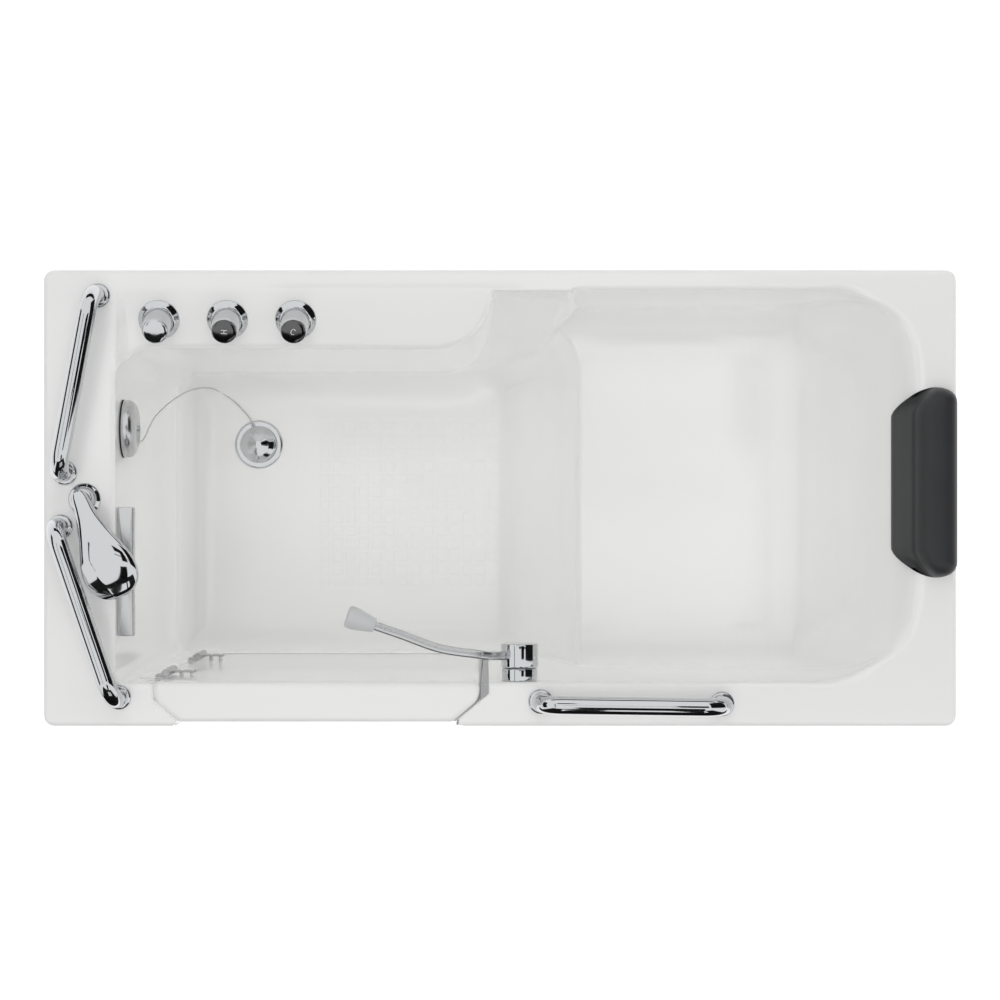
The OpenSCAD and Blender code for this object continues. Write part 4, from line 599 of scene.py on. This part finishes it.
right_jamb = left_jamb * [-1, 1] + [jamb_left + jamb_right, 0]
seat_r = seat_x - seat_centre[0]
seat_edge = chain((seat_x, well_front_y + 0.5), (seat_x, seat_centre[1]),
                  arc(*seat_centre, seat_r, 0, 62))
# Rows lie close together where the face bends: along the lip, the bath's brow and
# fillet, the jambs and the seat's edge
lip_rows = (0, 0.6, 1.2, 2, 3.2, 4.8, 6.6, 8.6, 12)
wall_rows = (-23, -20, -17, -14, -11.5, -9, -7.8, -6.4, -4.8, -3.2, -1.8, -0.8, 0, 1.6, 2.3, 3.4, 5,
             7.5, 11, 15, 20, 26, 33, 41, 50, 60, 71, 83)
jamb_rows = (-7, -4, -2.8, -1.5, -0.5, 0, 1, 2.2, 4)
seat_rows = np.concatenate([np.arange(-126, -20, 7), np.arange(-18, 22, 4.5), [27, 34]])
rows = [level_rows(outline, outer_distance, lip_rows), level_rows(opening, basin_distance, wall_rows)]
for jamb in (left_jamb, right_jamb):
    row = level_rows(jamb, doorway_distance, jamb_rows)
    rows.append(row[basin_distance(*row.T) < -0.3])
row = level_rows(seat_edge, lambda x, y: front_run(x, y) - seat_r, seat_rows)
rows.append(row[basin_distance(*row.T) > 64])
# Straight rows follow the ledge's crease, its left cheek, the pocket's edge, the
# sill and the two ends of the band round the doorway
crease_y = [basin_back_y + o for o in (-12, -7, -3.5, 0, 3.5, 7, 12)]
sill_y = (-330, mitre_y, -342, -366, door_out_y, -377)
rows += [crossings(crease_y, np.arange(-640, -12, 6.0), True),
         crossings(ledge_starts[0] + np.arange(0, 17, 4), np.arange(252, 346, 6.0)),
         crossings(np.arange(80, 168, 4.0), np.arange(298, 346, 4.0)),
         crossings(sill_y, np.arange(jamb_left + 6, jamb_right - 4, 6.0), True)]
for x in (band_left, band_right):
    rows.append(crossings((x - 0.4, x + 0.4), (front_y, front_y + 0.6, front_y + 1.2)))
rows = np.vstack(rows)
rows = rows[outer_distance(*rows.T) > -0.02]
_, first = np.unique(np.round(rows / 0.45).astype(int), axis=0, return_index=True)
rows = rows[np.sort(first)]
# Between the rows, a plain grid 10 mm apart, left out wherever a row passes near
cell, grid = 6.0, 10.0
last_i, last_j = int((head_x - foot_x) / cell) + 1, int((back_y - front_y) / cell) + 1
taken = np.zeros((last_i + 1, last_j + 1), bool)
ij = ((rows - [foot_x, front_y]) / cell).astype(int)
for di in (-1, 0, 1):
    for dj in (-1, 0, 1):
        taken[np.clip(ij[:, 0] + di, 0, last_i), np.clip(ij[:, 1] + dj, 0, last_j)] = True
gx, gy = np.meshgrid(np.arange(foot_x + grid / 2, head_x, grid), np.arange(front_y + grid / 2, back_y, grid),
                     indexing="ij")
plain = np.stack([gx.ravel() + grid / 4 * (np.arange(gx.size) % 2), gy.ravel()], -1)
ij = ((plain - [foot_x, front_y]) / cell).astype(int)
plain = plain[~taken[ij[:, 0], ij[:, 1]] & (outer_distance(*plain.T) > 6)]
points = [Vector(p) for p in np.vstack([rows, plain]).tolist()]
plan, _, faces = delaunay_2d_cdt(points, [], [], 0, 1e-4, False)[:3]
x, y = np.array([tuple(p) for p in plan]).T
top = np.stack([x, y, tub_height(x, y)], -1)
h = 0.25
slope_x = (tub_height(x + h, y) - tub_height(x - h, y)) / (2 * h)
slope_y = (tub_height(x, y + h) - tub_height(x, y - h)) / (2 * h)
normal = np.stack([-slope_x, -slope_y, np.ones_like(x)], -1)
# Beyond the outline the face hangs straight down, so its normal there points out
out_x = outer_distance(x - 1, y) - outer_distance(x + 1, y)
out_y = outer_distance(x, y - 1) - outer_distance(x, y + 1)
edge = outer_distance(x, y) < 0.7
normal[edge] = np.stack([out_x, out_y, np.zeros_like(x)], -1)[edge]
normal /= np.linalg.norm(normal, axis=1)[:, None]


def walled(top, faces, normal, thickness):
    """Gives a face sheet a thickness: the same sheet moved back along its normals and turned over,
    and a strip that joins their borders."""
    tri = np.array(faces)
    n = len(top)
    edges = np.vstack([tri[:, [0, 1]], tri[:, [1, 2]], tri[:, [2, 0]]])
    _, where, count = np.unique(np.sort(edges, 1), axis=0, return_index=True, return_counts=True)
    rim = edges[where[count == 1]]
    strip = np.stack([rim[:, 1], rim[:, 0], rim[:, 0] + n, rim[:, 1] + n], -1)
    back = tri[:, ::-1] + n
    return np.vstack([top, top - normal * thickness]), tri.tolist() + back.tolist() + strip.tolist()


shell = walled(top, faces, normal, shell_t)
piece("tub_moulding", [shell], gelcoat, "tub", ["tub_shell"], normals=np.vstack([normal, -normal]))


def dress(finish, *names):
    """Gives carried-over CAD nodes their finish."""
    for n in names:
        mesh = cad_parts[n].data
        mesh.materials.clear()
        mesh.materials.append(finish)


# ---- Panels ----
# Flat gel-coat panels close the front and both ends; the one under the seat lifts
# off to reach the pipes and is held by stainless screws.

dress(gelcoat, "front_panel", "access_panel", "foot_end_panel", "head_end_panel")

# Stainless steel, turned: tiny scratches about 0.4 mm apart, drawn at 1.5 mm to show
stainless, tree, shader, place = material("turned_stainless_steel", "#C9C9C6", metallic=1.0, roughness=0.28)
roughen(tree, shader, place, 1.5, 0.05, 0.4)
dress(stainless, "panel_screws", "door_sill_strip")

# ---- Door ----
# The same gel coat moulded round a plywood core, 67 mm thick and mitred at both
# sides so that water pressure shuts it. Its edges are rounded for the bather.

door_z, door_top, door_roll = 180, 965, 9


def rounded_outline(corners, radius, inset, steps=7):
    """Outline of a convex polygon, counter-clockwise, moved in by inset, with corners of radius -
    inset: centre + (radius - inset) n, as n turns from one side's normal to the next. The radius
    is one number, or one for each corner."""
    p = np.array(corners, float)
    radius = np.broadcast_to(np.array(radius, float), len(p))[:, None]
    side = np.roll(p, -1, 0) - p
    side /= np.linalg.norm(side, axis=1)[:, None]
    after = np.stack([side[:, 1], -side[:, 0]], -1)
    before = np.roll(after, 1, 0)
    cross = before[:, 0] * after[:, 1] - before[:, 1] * after[:, 0]
    lean = np.stack([after[:, 1] - before[:, 1], before[:, 0] - after[:, 0]], -1)
    centre = p - radius * lean / cross[:, None]
    t = np.linspace(0, 1, steps)[None, :, None]
    turn = before[:, None] * (1 - t) + after[:, None] * t
    turn /= np.linalg.norm(turn, axis=2)[:, :, None]
    return (centre[:, None] + (radius - inset)[:, :, None] * turn).reshape(-1, 2)


def slab(corners, radius, levels):
    """Closed block over an outline, with a ring for each (inset, height) level. A height may be a
    function of the ring's points."""
    rings = []
    for inset, height in levels:
        ring = rounded_outline(corners, radius, inset)
        z = height(ring) if callable(height) else np.full(len(ring), float(height))
        rings.append(np.column_stack([ring, z]))
    return closed_shell(rings)


def roll(radius, start, end, steps=6):
    """Rows (inset, rise) of a quarter roll: radius (1 - cos a) in and radius sin a up."""
    a = np.radians(np.linspace(start, end, steps))
    return np.stack([radius * (1 - np.cos(a)), radius * np.sin(a)], -1)


def door_underside(lift):
    """Lower edge of the door, bevelled up towards the outside over the mitre."""
    depth = mitre_y - door_out_y
    return lambda ring: door_z + lift + sill_rise * np.clip((mitre_y - ring[:, 1]) / depth, 0, 1)


door_plan = [(door_hinge_x, door_in_y), (door_hinge_x, mitre_y), (door_hinge_x + mitre_x, door_out_y),
             (door_lever_x - mitre_x, door_out_y), (door_lever_x, mitre_y), (door_lever_x, door_in_y)]
door_levels = [(i, door_underside(lift)) for i, lift in ((11, 0), (4, 0), (1, 1.5), (0, 5))]
door_levels += [(i, door_top - door_roll + z) for i, z in roll(door_roll, 0, 90, 7)]
door_levels.append((11.5, door_top))
door_radii = [12, 32, 14, 14, 32, 12]
piece("door_moulding", [slab(door_plan, door_radii, door_levels)], gelcoat, "door",
      ["door_inner_shell", "door_outer_skin"])

# Birch plywood: plies 1.4 mm thick across the board, between the skins. A wave of
# scale s in bands repeats every 0.31 / s, which is one dark ply and one light.
plywood, tree, shader, place = material("birch_plywood", "#C7A878", roughness=0.7)
plies = add(tree, "TexWave", {"Vector": place, "Scale": 1 / (9 * MM), "Distortion": 1.0},
            bands_direction="Y")
two_tones(tree, shader, plies.outputs["Fac"], "#B08F5E", "#D6BC8F")
dress(plywood, "door_core")

# Silicone seal: soft and slightly dusty, so it has a broad dull shine. Its colour goes from
# nearly white at the hinges to light grey at the lever: painted shade of the wider, darker gap there
silicone, tree, shader, place = material("silicone_seal", "#A9AAAB", roughness=0.55, sheen=0.2)
roughen(tree, shader, place, 1.2, 0.1, 0.5)
to_lever = add(tree, "SeparateXYZ", {0: place}).outputs[0]
# Painted shade: the seal turns grey towards the lever, where the gap beside the door is wider
lever_gap_shade = add(tree, "MapRange", {"Value": to_lever, "From Min": -120 * MM, "From Max": -50 * MM})
two_tones(tree, shader, lever_gap_shade.outputs[0], "#ECECEB", "#A9AAAB")
dress(silicone, "door_gasket", "stopper_seal")

# ---- Chrome plate ----
# The bars, the taps, the lever's base and hub, the drain and the hand shower are
# cast or bent brass, polished and chrome plated: a mirror with a very faint
# waviness from the polishing wheel.

chrome, tree, shader, place = material("chrome_plate", "#CED0D2", metallic=1.0, roughness=0.05)
polish = add(tree, "TexNoise", {"Vector": place, "Scale": 1 / (30 * MM), "Detail": 2.0}).outputs[0]
haze = add(tree, "MapRange", {"Value": polish, "To Min": 0.03, "To Max": 0.085})
tree.links.new(haze.outputs[0], shader.inputs["Roughness"])
bumped(tree, shader, polish, 0.4, 0.12)
dress(chrome, "handset_shank")


def softened(profile, radius, steps=5):
    """Rounds a profile's inner corners: each becomes the curve (1 - t)^2 a + 2 t (1 - t) corner +
    t^2 b between points a and b on its two sides."""
    p = np.array(profile, float)
    t = np.linspace(0, 1, steps)[:, None]
    rows = [p[:1]]
    for before, at, after in zip(p[:-2], p[1:-1], p[2:]):
        back, on = before - at, after - at
        a = at + back * min(radius / np.linalg.norm(back), 0.45)
        b = at + on * min(radius / np.linalg.norm(on), 0.45)
        rows.append(a * (1 - t) ** 2 + 2 * at * t * (1 - t) + b * t * t)
    return np.vstack(rows + [p[-1:]])


def turned(profile, centre, axis, count=72):
    """A turned shell: for each (radius, height) of the profile a circle centre + height * axis +
    radius (cos a u + sin a v)."""
    w = np.array(axis, float) / np.linalg.norm(axis)
    u = np.cross(w, [0, 0, 1.0] if abs(w[2]) < 0.9 else [0, 1.0, 0])
    u /= np.linalg.norm(u)
    v = np.cross(w, u)
    a = 2 * np.pi * np.arange(count) / count
    ring = np.cos(a)[:, None] * u + np.sin(a)[:, None] * v
    profile = np.array(profile, float)
    middles = np.array(centre, float) + profile[:, 1, None, None] * w
    return closed_shell(middles + profile[:, 0, None, None] * ring)


# ---- Hinges ----
# Two butt hinges of brushed stainless steel, each with three knuckles on a 7 mm pin.
# The jamb's leaf is let in under the gel coat, and the door's stands on white sleeves.

pin_x, pin_y, barrel_d, hinge_h, hinge_low = -567, -297, 14, 106, (326, 780)
knuckle, knuckle_gap, leaf_t, leaf_left, leaf_right = hinge_h / 3, 0.4, 3, -610.5, -521
hinge_steel, tree, shader, place = material("brushed_stainless_steel", "#B4B5B6", metallic=1.0,
                                            roughness=0.22)
roughen(tree, shader, place, 1.2, 0.05, 0.4)


def plate(x0, y0, x1, y1, low, high, edge=0.7):
    """Closed block between two corners with its edges rounded by edge."""
    levels = [(edge, low), (0, low + edge), (0, high - edge), (edge, high)]
    return slab([(x0, y0), (x1, y0), (x1, y1), (x0, y1)], edge + 0.1, levels)


def knuckle_shell(low, high):
    """A knuckle turned about the pin, closed over the pin's end, with its two rims rounded."""
    r, cap = barrel_d / 2, high - 0.4
    wall = [(0.5, low), (r, low), (r, high), (3.9, high), (3.5, cap), (0.5, cap)]
    return turned(softened(wall, 0.9), (pin_x, pin_y, 0), (0, 0, 1), 48)


sleeve = softened([(1, 0), (3.5, 0), (3.5, 12.2), (2.6, 13), (1, 13)], 0.6)
jamb_knuckles, jamb_leaves, door_arms, sleeves = [], [], [], []
for z in hinge_low:
    for low in (z, z + 2 * knuckle):
        high = low + knuckle
        jamb_knuckles.append(knuckle_shell(low, high))
        jamb_knuckles.append(plate(jamb_left, pin_y - 6, pin_x - 3, pin_y - 2.5, low + 1, high - 1))
    jamb_leaves.append(plate(leaf_left, well_front_y, jamb_left, well_front_y + 2.5, z, z + hinge_h))
    low, high = z + knuckle + knuckle_gap, z + 2 * knuckle - knuckle_gap
    door_arms.append(knuckle_shell(low, high))
    door_arms.append(plate(pin_x + 3, pin_y - leaf_t / 2, leaf_right, pin_y + leaf_t / 2, low, high))
    for x in (pin_x + 20, pin_x + 38):
        sleeves.append(turned(sleeve, (x, well_front_y, z + hinge_h / 2), (0, 1, 0), 32))
piece("hinge_jamb_knuckles", jamb_knuckles, hinge_steel, "tub", ["hinge_jamb_leaves"])
piece("hinge_let_in_leaves", jamb_leaves, gelcoat, "tub", [])
piece("hinge_door_arms", door_arms, hinge_steel, "door", ["hinge_door_leaves"])
piece("hinge_sleeves", sleeves, gelcoat, "door", [])
dress(hinge_steel, "hinge_pins")

# ---- Grab bars ----
# Three 30 mm tubes bent down at both ends onto the deck, each foot in a ring that
# hides its fixing.

bar_d, bar_bend, bar_z, ring_d, ring_h = 30, 38, 1041, 42, 6
bar_feet = {
    "grab_bar_wall_side": ((-670, 337), (-725, 42)),
    "grab_bar_foot_end": ((-732, -48), (-635, -332)),
    "grab_bar_door_side": ((68, -339), (370, -343)),
}
foot_r, ring_r, foot_h = bar_d / 2 + 0.2, ring_d / 2, 12
ring = [(foot_r, 0.2), (ring_r, 0.2), (ring_r - 0.5, 3.5), (ring_r - 3, ring_h), (foot_r, ring_h)]
rings, up = [], np.array([0, 0, 1.0])
turn = np.radians(np.linspace(0, 90, 12))[:, None]
run = bar_bend * (1 - np.cos(turn))
rise = (bar_z - bar_bend - rim_z + bar_bend * np.sin(turn)) * up
for name, feet in bar_feet.items():
    a, b = np.array([[*foot, rim_z] for foot in feet], float)
    way = (b - a) / np.linalg.norm(b - a)
    ends = a + run * way + rise, (b - run * way + rise)[::-1]
    path = np.vstack([a, a + foot_h * up, *ends, b + foot_h * up, b])
    piece(name, [closed_shell(rings_along(path, circle(bar_d / 2)))], chrome, "tub", [name])
    rings += [turned(softened(ring, 2), foot, up) for foot in (a, b)]
piece("grab_bar_rings", rings, chrome, "tub", ["grab_bar_rings"])

# ---- Door lever ----
# A long handle that reaches over the door: a base screwed to the wall, a turning
# hub, a flat bent arm of satin metal and a moulded grip.

lever_x, lever_z = 33, 931
hub_y, hub_r, hub_h, base_r, base_h = -284.7, 31.5, 41, 30, 21
arm_route = [(7, -263.7, 945), (-9, -262.7, 965), (-23, -261.7, 979), (-41, -258.7, 984),
             (-100, -249.7, 984), (-161, -227.8, 986), (-207, -211.7, 989)]
arm_w, arm_t, arm_edge, grip_r, grip_l = 15, 10, 3.5, 19, 50
inward = np.array([0, 1.0, 0])
base = softened([(9, 0), (base_r, 0), (base_r, base_h), (9, base_h)], 2)
piece("lever_base", [turned(base, (lever_x, well_front_y, lever_z), inward)], chrome, "tub",
      ["lever_base"])
hub = softened([(4, 0), (hub_r, 0), (hub_r, hub_h), (4, hub_h)], 3.5)
piece("lever_hub", [turned(hub, (lever_x, hub_y, lever_z), inward)], chrome, "lever",
      ["lever_hub"])
satin, tree, shader, place = material("satin_metal", "#CDCECF", metallic=1.0, roughness=0.24)
roughen(tree, shader, place, 2.0, 0.05, 0.3)
# A groove 1.1 mm deep runs along the middle of the arm's top, which lies between
# the section's second and third corners, of 5 points each
corners = np.array([(arm_w, -arm_t), (arm_w, arm_t), (-arm_w, arm_t), (-arm_w, -arm_t)]) / 2
section = rounded_outline(corners, arm_edge, 0, 5)
groove = [(x, arm_t / 2 - z) for x, z in ((1, 0), (0.55, 0.9), (0, 1.1), (-0.55, 0.9), (-1, 0))]
section = np.vstack([section[:10], groove, section[10:]])
piece("lever_arm", [closed_shell(rings_along(spline(arm_route, 5), section))], satin, "lever",
      ["lever_arm"])
grip_plastic, tree, shader, place = material("grip_plastic", "#C9CACB", roughness=0.38)
roughen(tree, shader, place, 1.0, 0.08, 0.4)
grip = [(2, 0), (11.5, 0), (12.5, 5), (grip_r, grip_l - 16), (grip_r, grip_l - 1), (10, grip_l), (2, grip_l)]
grip_way = np.array(arm_route[-1], float) - arm_route[-2]
piece("lever_grip", [turned(softened(grip, 9, 8), arm_route[-1], grip_way)], grip_plastic, "lever",
      ["lever_grip"])

# ---- Taps ----
# Diverter, hot and cold: a domed flange on the slanted ledge and a tapered knob,
# all chromed. The hot and cold knobs end in a glazed black disc with a small H or C.

tap_x, tap_y, tap_flange_h, tap_flange_r = (-571, -456.5, -342), 299, 11, 34.5
knob_low, knob_r, knob_end_r, knob_h, disc_r, disc_h = 11.5, 25, 21.5, 46, 20.5, 3
slope = math.radians(ledge_slope)
ledge_up = np.array([0, -math.sin(slope), math.cos(slope)])
ledge_back = np.array([0, math.cos(slope), math.sin(slope)])
tap_z = rim_z - (basin_back_y - tap_y) * math.tan(slope)
tap_feet = [np.array([x, tap_y, tap_z]) for x in tap_x]
flange = softened([(3, 0.3), (tap_flange_r, 0.3), (tap_flange_r, 2.5), (tap_flange_r - 4, 6),
                   (knob_r + 1, tap_flange_h), (3, tap_flange_h)], 3)
flanges = [turned(flange, p, ledge_up) for p in tap_feet]
piece("tap_flanges", flanges, chrome, "tub", ["tap_flanges"])
# A black ceramic glaze, which mirrors more than plain plastic does
disc_gloss, tree, shader, place = material("black_glaze", "#060607", roughness=0.1, ior=2.1)
roughen(tree, shader, place, 12, 0.05, 0.1)
mark_paint, tree, shader, place = material("printed_mark", "#E8E8E8", roughness=0.5)
roughen(tree, shader, place, 0.8, 0.03, 0.3)


def strokes(points, width, foot, height, turn):
    """Flat raised strokes along a line on a tap's face: one small block for each step of the line."""
    p = np.array(points, float)
    c, s = math.cos(math.radians(turn)), math.sin(math.radians(turn))
    p = p @ np.array([[c, s], [-s, c]])
    blocks = []
    for a, b in zip(p[:-1], p[1:]):
        way = (b - a) / np.linalg.norm(b - a)
        side = np.array([-way[1], way[0]]) * width / 2
        a, b = a - way * width * 0.3, b + way * width * 0.3
        plan = np.array([a - side, b - side, b + side, a + side])
        level = foot + plan[:, :1] * [1.0, 0, 0] + plan[:, 1:] * ledge_back
        blocks.append(closed_shell([level + (height + z) * ledge_up for z in (-0.2, 0.15)]))
    return blocks


h_lines = [[(-2.8, -4.6), (-2.8, 4.6)], [(2.8, -4.6), (2.8, 4.6)], [(-2.8, 0), (2.8, 0)]]
c_turn = np.radians(np.linspace(45, 315, 10))
c_lines = [np.stack([3.6 * np.cos(c_turn), 4.9 * np.sin(c_turn)], -1)]
mark_w, end_z = 1.1, knob_low + knob_h
face_z = end_z + disc_h
knob = softened([(3, knob_low), (knob_r - 0.6, knob_low), (knob_r, knob_low + 3),
                 (knob_end_r + 0.6, end_z - 4), (knob_end_r, end_z), (3, end_z)], 1.6)
face = softened([(3, end_z - 0.5), (disc_r, end_z - 0.5), (disc_r, face_z - 1.6),
                 (disc_r - 4, face_z - 0.6), (9, face_z - 0.1), (2, face_z)], 2.5, 7)
taps = (("diverter", "diverter", [], 0), ("hot", "hot_tap", h_lines, 86), ("cold", "cold_tap", c_lines, -24))
for foot, (name, body, lines, turn) in zip(tap_feet, taps):
    piece(name + "_knob", [turned(knob, foot, ledge_up)], chrome, body, [name + "_knob"])
    end = [turned(face, foot, ledge_up)]
    if not lines:
        piece(name + "_face", end, chrome, body, [])
        continue
    piece(name + "_face", end, disc_gloss, body, [name + "_disc"])
    marks = sum([strokes(line, mark_w, foot, face_z, turn) for line in lines], [])
    piece(name + "_mark", marks, mark_paint, body, [])

# ---- Waterfall spout, overflow and drain ----
# A flat spout bar and a round overflow cover of satin metal in the foot-end wall,
# and a chromed 97 mm drain flange in the floor. The stopper's cord hangs from the
# cover.

spout_plan = [(-642, -232), (-614, -232), (-614, -15), (-642, -15)]
spout_levels = [(3, 920), (0.8, 920.6), (0, 922.5), (0, 937), (0.9, 939.3), (3, 940)]
piece("waterfall_spout", [slab(spout_plan, 3.2, spout_levels)], satin, "tub",
      ["waterfall_spout"])
overflow_at, overflow_r, overflow_h = (well_x, 118, 870), 49, 26
cover = softened([(4, 0.3), (overflow_r, 0.3), (overflow_r, overflow_h - 11),
                  (overflow_r - 8, overflow_h - 3), (overflow_r - 20, overflow_h), (5, overflow_h)], 5)
piece("overflow_cover", [turned(cover, overflow_at, (1, 0, 0))], satin, "tub",
      ["overflow_cover"])
dress(chrome, "overflow_screw")
# A black rubber ring under the cover shows as a thin line against the wall. Its black is partly
# the rubber's own colour and partly painted shade, for the shadow in the gap where the cover meets the wall
rubber_and_shade, tree, shader, place = material("black_rubber_and_shade", "#101010", roughness=0.6)
roughen(tree, shader, place, 1.0, 0.1, 0.5)
shade_washer_r = overflow_r + 0.4
shade_washer = softened([(30, 0.1), (shade_washer_r, 0.1), (shade_washer_r, 2.2), (30, 2.2)], 0.6)
piece("overflow_shade_washer", [turned(shade_washer, overflow_at, (1, 0, 0))], rubber_and_shade, "tub", [])
drain_at = np.array([-483, 108, 0.0])
flange = softened([(3, 95.2), (48.4, 95.2), (48.0, 97), (45, 98), (30, 97.2), (26, 95.4), (3, 95.3)], 1.5)
piece("drain_flange", [turned(flange, drain_at, up)], chrome, "tub", ["drain_flange"])
cap = softened([(2, 101), (35, 101), (37, 103), (33, 105.5), (21, 108.5), (6, 110), (2, 110)], 2)
stem = softened([(1, 81), (6, 81), (6, 102), (1, 102)], 1)
# The cord's eye: a flat tongue that reaches out of the cap towards the cord's end
eye_turn, eye_z = math.radians(107), 103.2
eye_way = np.array([math.cos(eye_turn), math.sin(eye_turn), 0])
eye_line = [drain_at + eye_way * s + eye_z * up for s in (30, 36, 41, 43)]
eye = closed_shell(rings_along(eye_line, circle(1, 12) * [4, 1.6]))
piece("stopper_cap", [turned(cap, drain_at, up), turned(stem, drain_at, up), eye], chrome, "stopper",
      ["stopper_cap"])

# ---- Hand shower ----
# A chromed handset that stands in a collar on the deck and leans over the bath:
# one swelling form from its neck to a broad head, with the spray face below.

holder_at, holder_h, handset_z, handset_turn = np.array([-692, -2, rim_z]), 34, 999.3, math.radians(-66)
holder = softened([(13, 0.3), (27, 0.3), (27, 3), (22, 7), (20, 9), (17.5, holder_h), (13, holder_h)], 3)
piece("shower_holder", [turned(holder, holder_at, up)], chrome, "tub", ["shower_holder"])
# Stations along the handset: distance from the collar, middle height, half width
# and half thickness
stations = [(-15, 10, 5, 7), (-12, 10, 10, 9.5), (0, 12, 14, 12), (16, 18, 16, 13), (38, 27, 20, 14),
            (62, 34, 27, 15), (86, 38, 35, 16), (108, 39, 42, 16), (128, 37, 45, 15.5),
            (146, 33, 43, 14), (161, 28, 35, 12), (171, 24, 23, 9), (175, 21, 9, 5)]
along, middle, half_w, half_t = spline(stations, 6)[:, :, None].transpose(1, 0, 2)
# Each station's section is a rounded square, |cos a|^0.72 by |sin a|^0.72
wheel = circle(1, 96)
across, rise = (np.sign(wheel) * np.abs(wheel) ** 0.72).T
# On the head the crest falls away to one side as a flat flank, from a crease that moves in from the edge
crease_at = -1 + 0.6 * eased(along, 45, 85)
rise = soft_min(rise, 0.98 - 1.3 * np.maximum(crease_at - across, 0), 0.06)
local = np.stack([along + 0 * rise, half_w * across, middle + half_t * rise], -1)
c, n = math.cos(handset_turn), math.sin(handset_turn)
form = local @ np.array([[c, n, 0], [-n, c, 0], [0, 0, 1]]) + [*holder_at[:2], handset_z]
piece("handset_shell", [closed_shell(form)], chrome, "handset", ["handset_shell"], smooth=60)

# ---- Pillow ----
# A black foam pillow with a moulded skin: a roll along the deck and a wedge that
# leans on the backrest, held by two suckers underneath.

foam, tree, shader, place = material("skinned_foam", "#222325", roughness=0.5, sheen=0.12)
grain = add(tree, "TexVoronoi", {"Vector": place, "Scale": 1 / (1.6 * MM)})
bumped(tree, shader, grain.outputs[0], 0.25, 0.5)
soil = add(tree, "TexNoise", {"Vector": place, "Scale": 1 / (60 * MM), "Detail": 4.0})
two_tones(tree, shader, soil.outputs[0], "#1E1F21", "#27282A")
pillow_y, pillow_l, pillow_rise, pillow_reach, pillow_w, pillow_seat = 26, 317, 36, 62, 98, 0.5
pillow_outline = np.array([
    (96, 0), (98, 9), (96, 19), (89, 29), (76, 35), (62, pillow_rise), (50, 35), (41, 30), (34, 21),
    (30, 13), (26.5, 9), (24, 5), (18, -8), (12, -21), (6, -35), (1, -47), (1, -56),
    (9, -pillow_reach), (15, -57), (24, -30), (36, -8), (36, 0),
], float)


def pillow_section(t):
    """Section of the pillow at t, from -1 to 1 along it: a roll on the deck and a wedge that slants
    down the backrest. Towards the ends its left and right limits close in as 1 - (1 - u^1.6)^0.62
    and 1 - (1 - v^2.6)^0.5, and its rise falls as (1 - v^2.6)^0.5."""
    u, v = np.clip((abs(t) - 0.70) / 0.30, 0, 1), np.clip((abs(t) - 0.82) / 0.18, 0, 1)
    bulge = math.sqrt(1 - v**2.6)
    left = basin_head_x - 41 + 65 * (1 - (1 - u**1.6) ** 0.62)
    right = head_x - 2 - 34 * (1 - bulge)
    hang = float(np.clip(1 - (u / 0.62) ** 1.5, 0, 1))
    across, z = pillow_outline.T
    x = left + across * (right - left) / pillow_w
    deck = rim_z + pillow_seat
    z = np.maximum(deck + z * np.where(z > 0, bulge, hang), np.where(x > basin_head_x - 3, deck, 0))
    section = np.column_stack([x, np.full(len(x), pillow_y + t * pillow_l / 2), z])
    return spline(np.vstack([section, section[:1]]), 3)[:-1]


sections = [pillow_section(math.sin(math.radians(a)) * 0.9999) for a in np.linspace(-90, 90, 49)]
pillow = piece("pillow", [closed_shell(sections)], foam, "tub", ["pillow"], smooth=70)

# ---- Frame, feet and pipes ----
# A welded frame of square galvanised tube carries the shell on six levelling feet.
# Behind the panels run brass water pipes and a grey-white plastic waste.

# Hot-dip galvanised steel: zinc crystals about 8 mm across, each with its own dull tone
galvanised, tree, shader, place = material("galvanised_steel", "#9FA3A6", metallic=1.0, roughness=0.42)
spangle = add(tree, "TexVoronoi", {"Vector": place, "Scale": 1 / (8 * MM)})
crystal = add(tree, "SeparateColor", {0: spangle.outputs["Color"]})
two_tones(tree, shader, crystal.outputs[0], "#8E9296", "#B2B6B9")
dress(galvanised, "frame_rails", "frame_cross_members", "frame_posts", "seat_supports")
# Bright zinc plate: slightly bluish, with a fine grain from the bath
zinc, tree, shader, place = material("zinc_plate", "#BFC3C6", metallic=1.0, roughness=0.32)
roughen(tree, shader, place, 1.0, 0.04, 0.4)
dress(zinc, "foot_studs", "foot_locknuts", "grab_bar_studs", "lever_spindle")
# Moulded nylon and rubber: black, with a fine spark-eroded texture of 0.8 mm
nylon, tree, shader, place = material("black_nylon", "#1B1B1C", roughness=0.5)
roughen(tree, shader, place, 0.8, 0.08, 0.6)
dress(nylon, "foot_pads", "pillow_suckers", "spray_face")
# Cast and drawn brass: warm yellow with a thin dull oxide in patches
brass, tree, shader, place = material("bare_brass", "#C9A552", metallic=1.0, roughness=0.3)
oxide = roughen(tree, shader, place, 14, 0.1, 0.3)
two_tones(tree, shader, oxide.outputs[0], "#B08C42", "#DABB6C")
dress(brass, "valve_bodies", "fitting_locknuts", "mixer_pipe", "supply_pipes", "spout_feed_pipe",
      "drain_locknut")
# Moulded polypropylene waste: off-white and waxy
waste_plastic, tree, shader, place = material("waste_polypropylene", "#DEDEDA", roughness=0.4)
roughen(tree, shader, place, 3.0, 0.05, 0.3)
dress(waste_plastic, "overflow_elbow", "overflow_pipe", "drain_body", "waste_tailpiece")
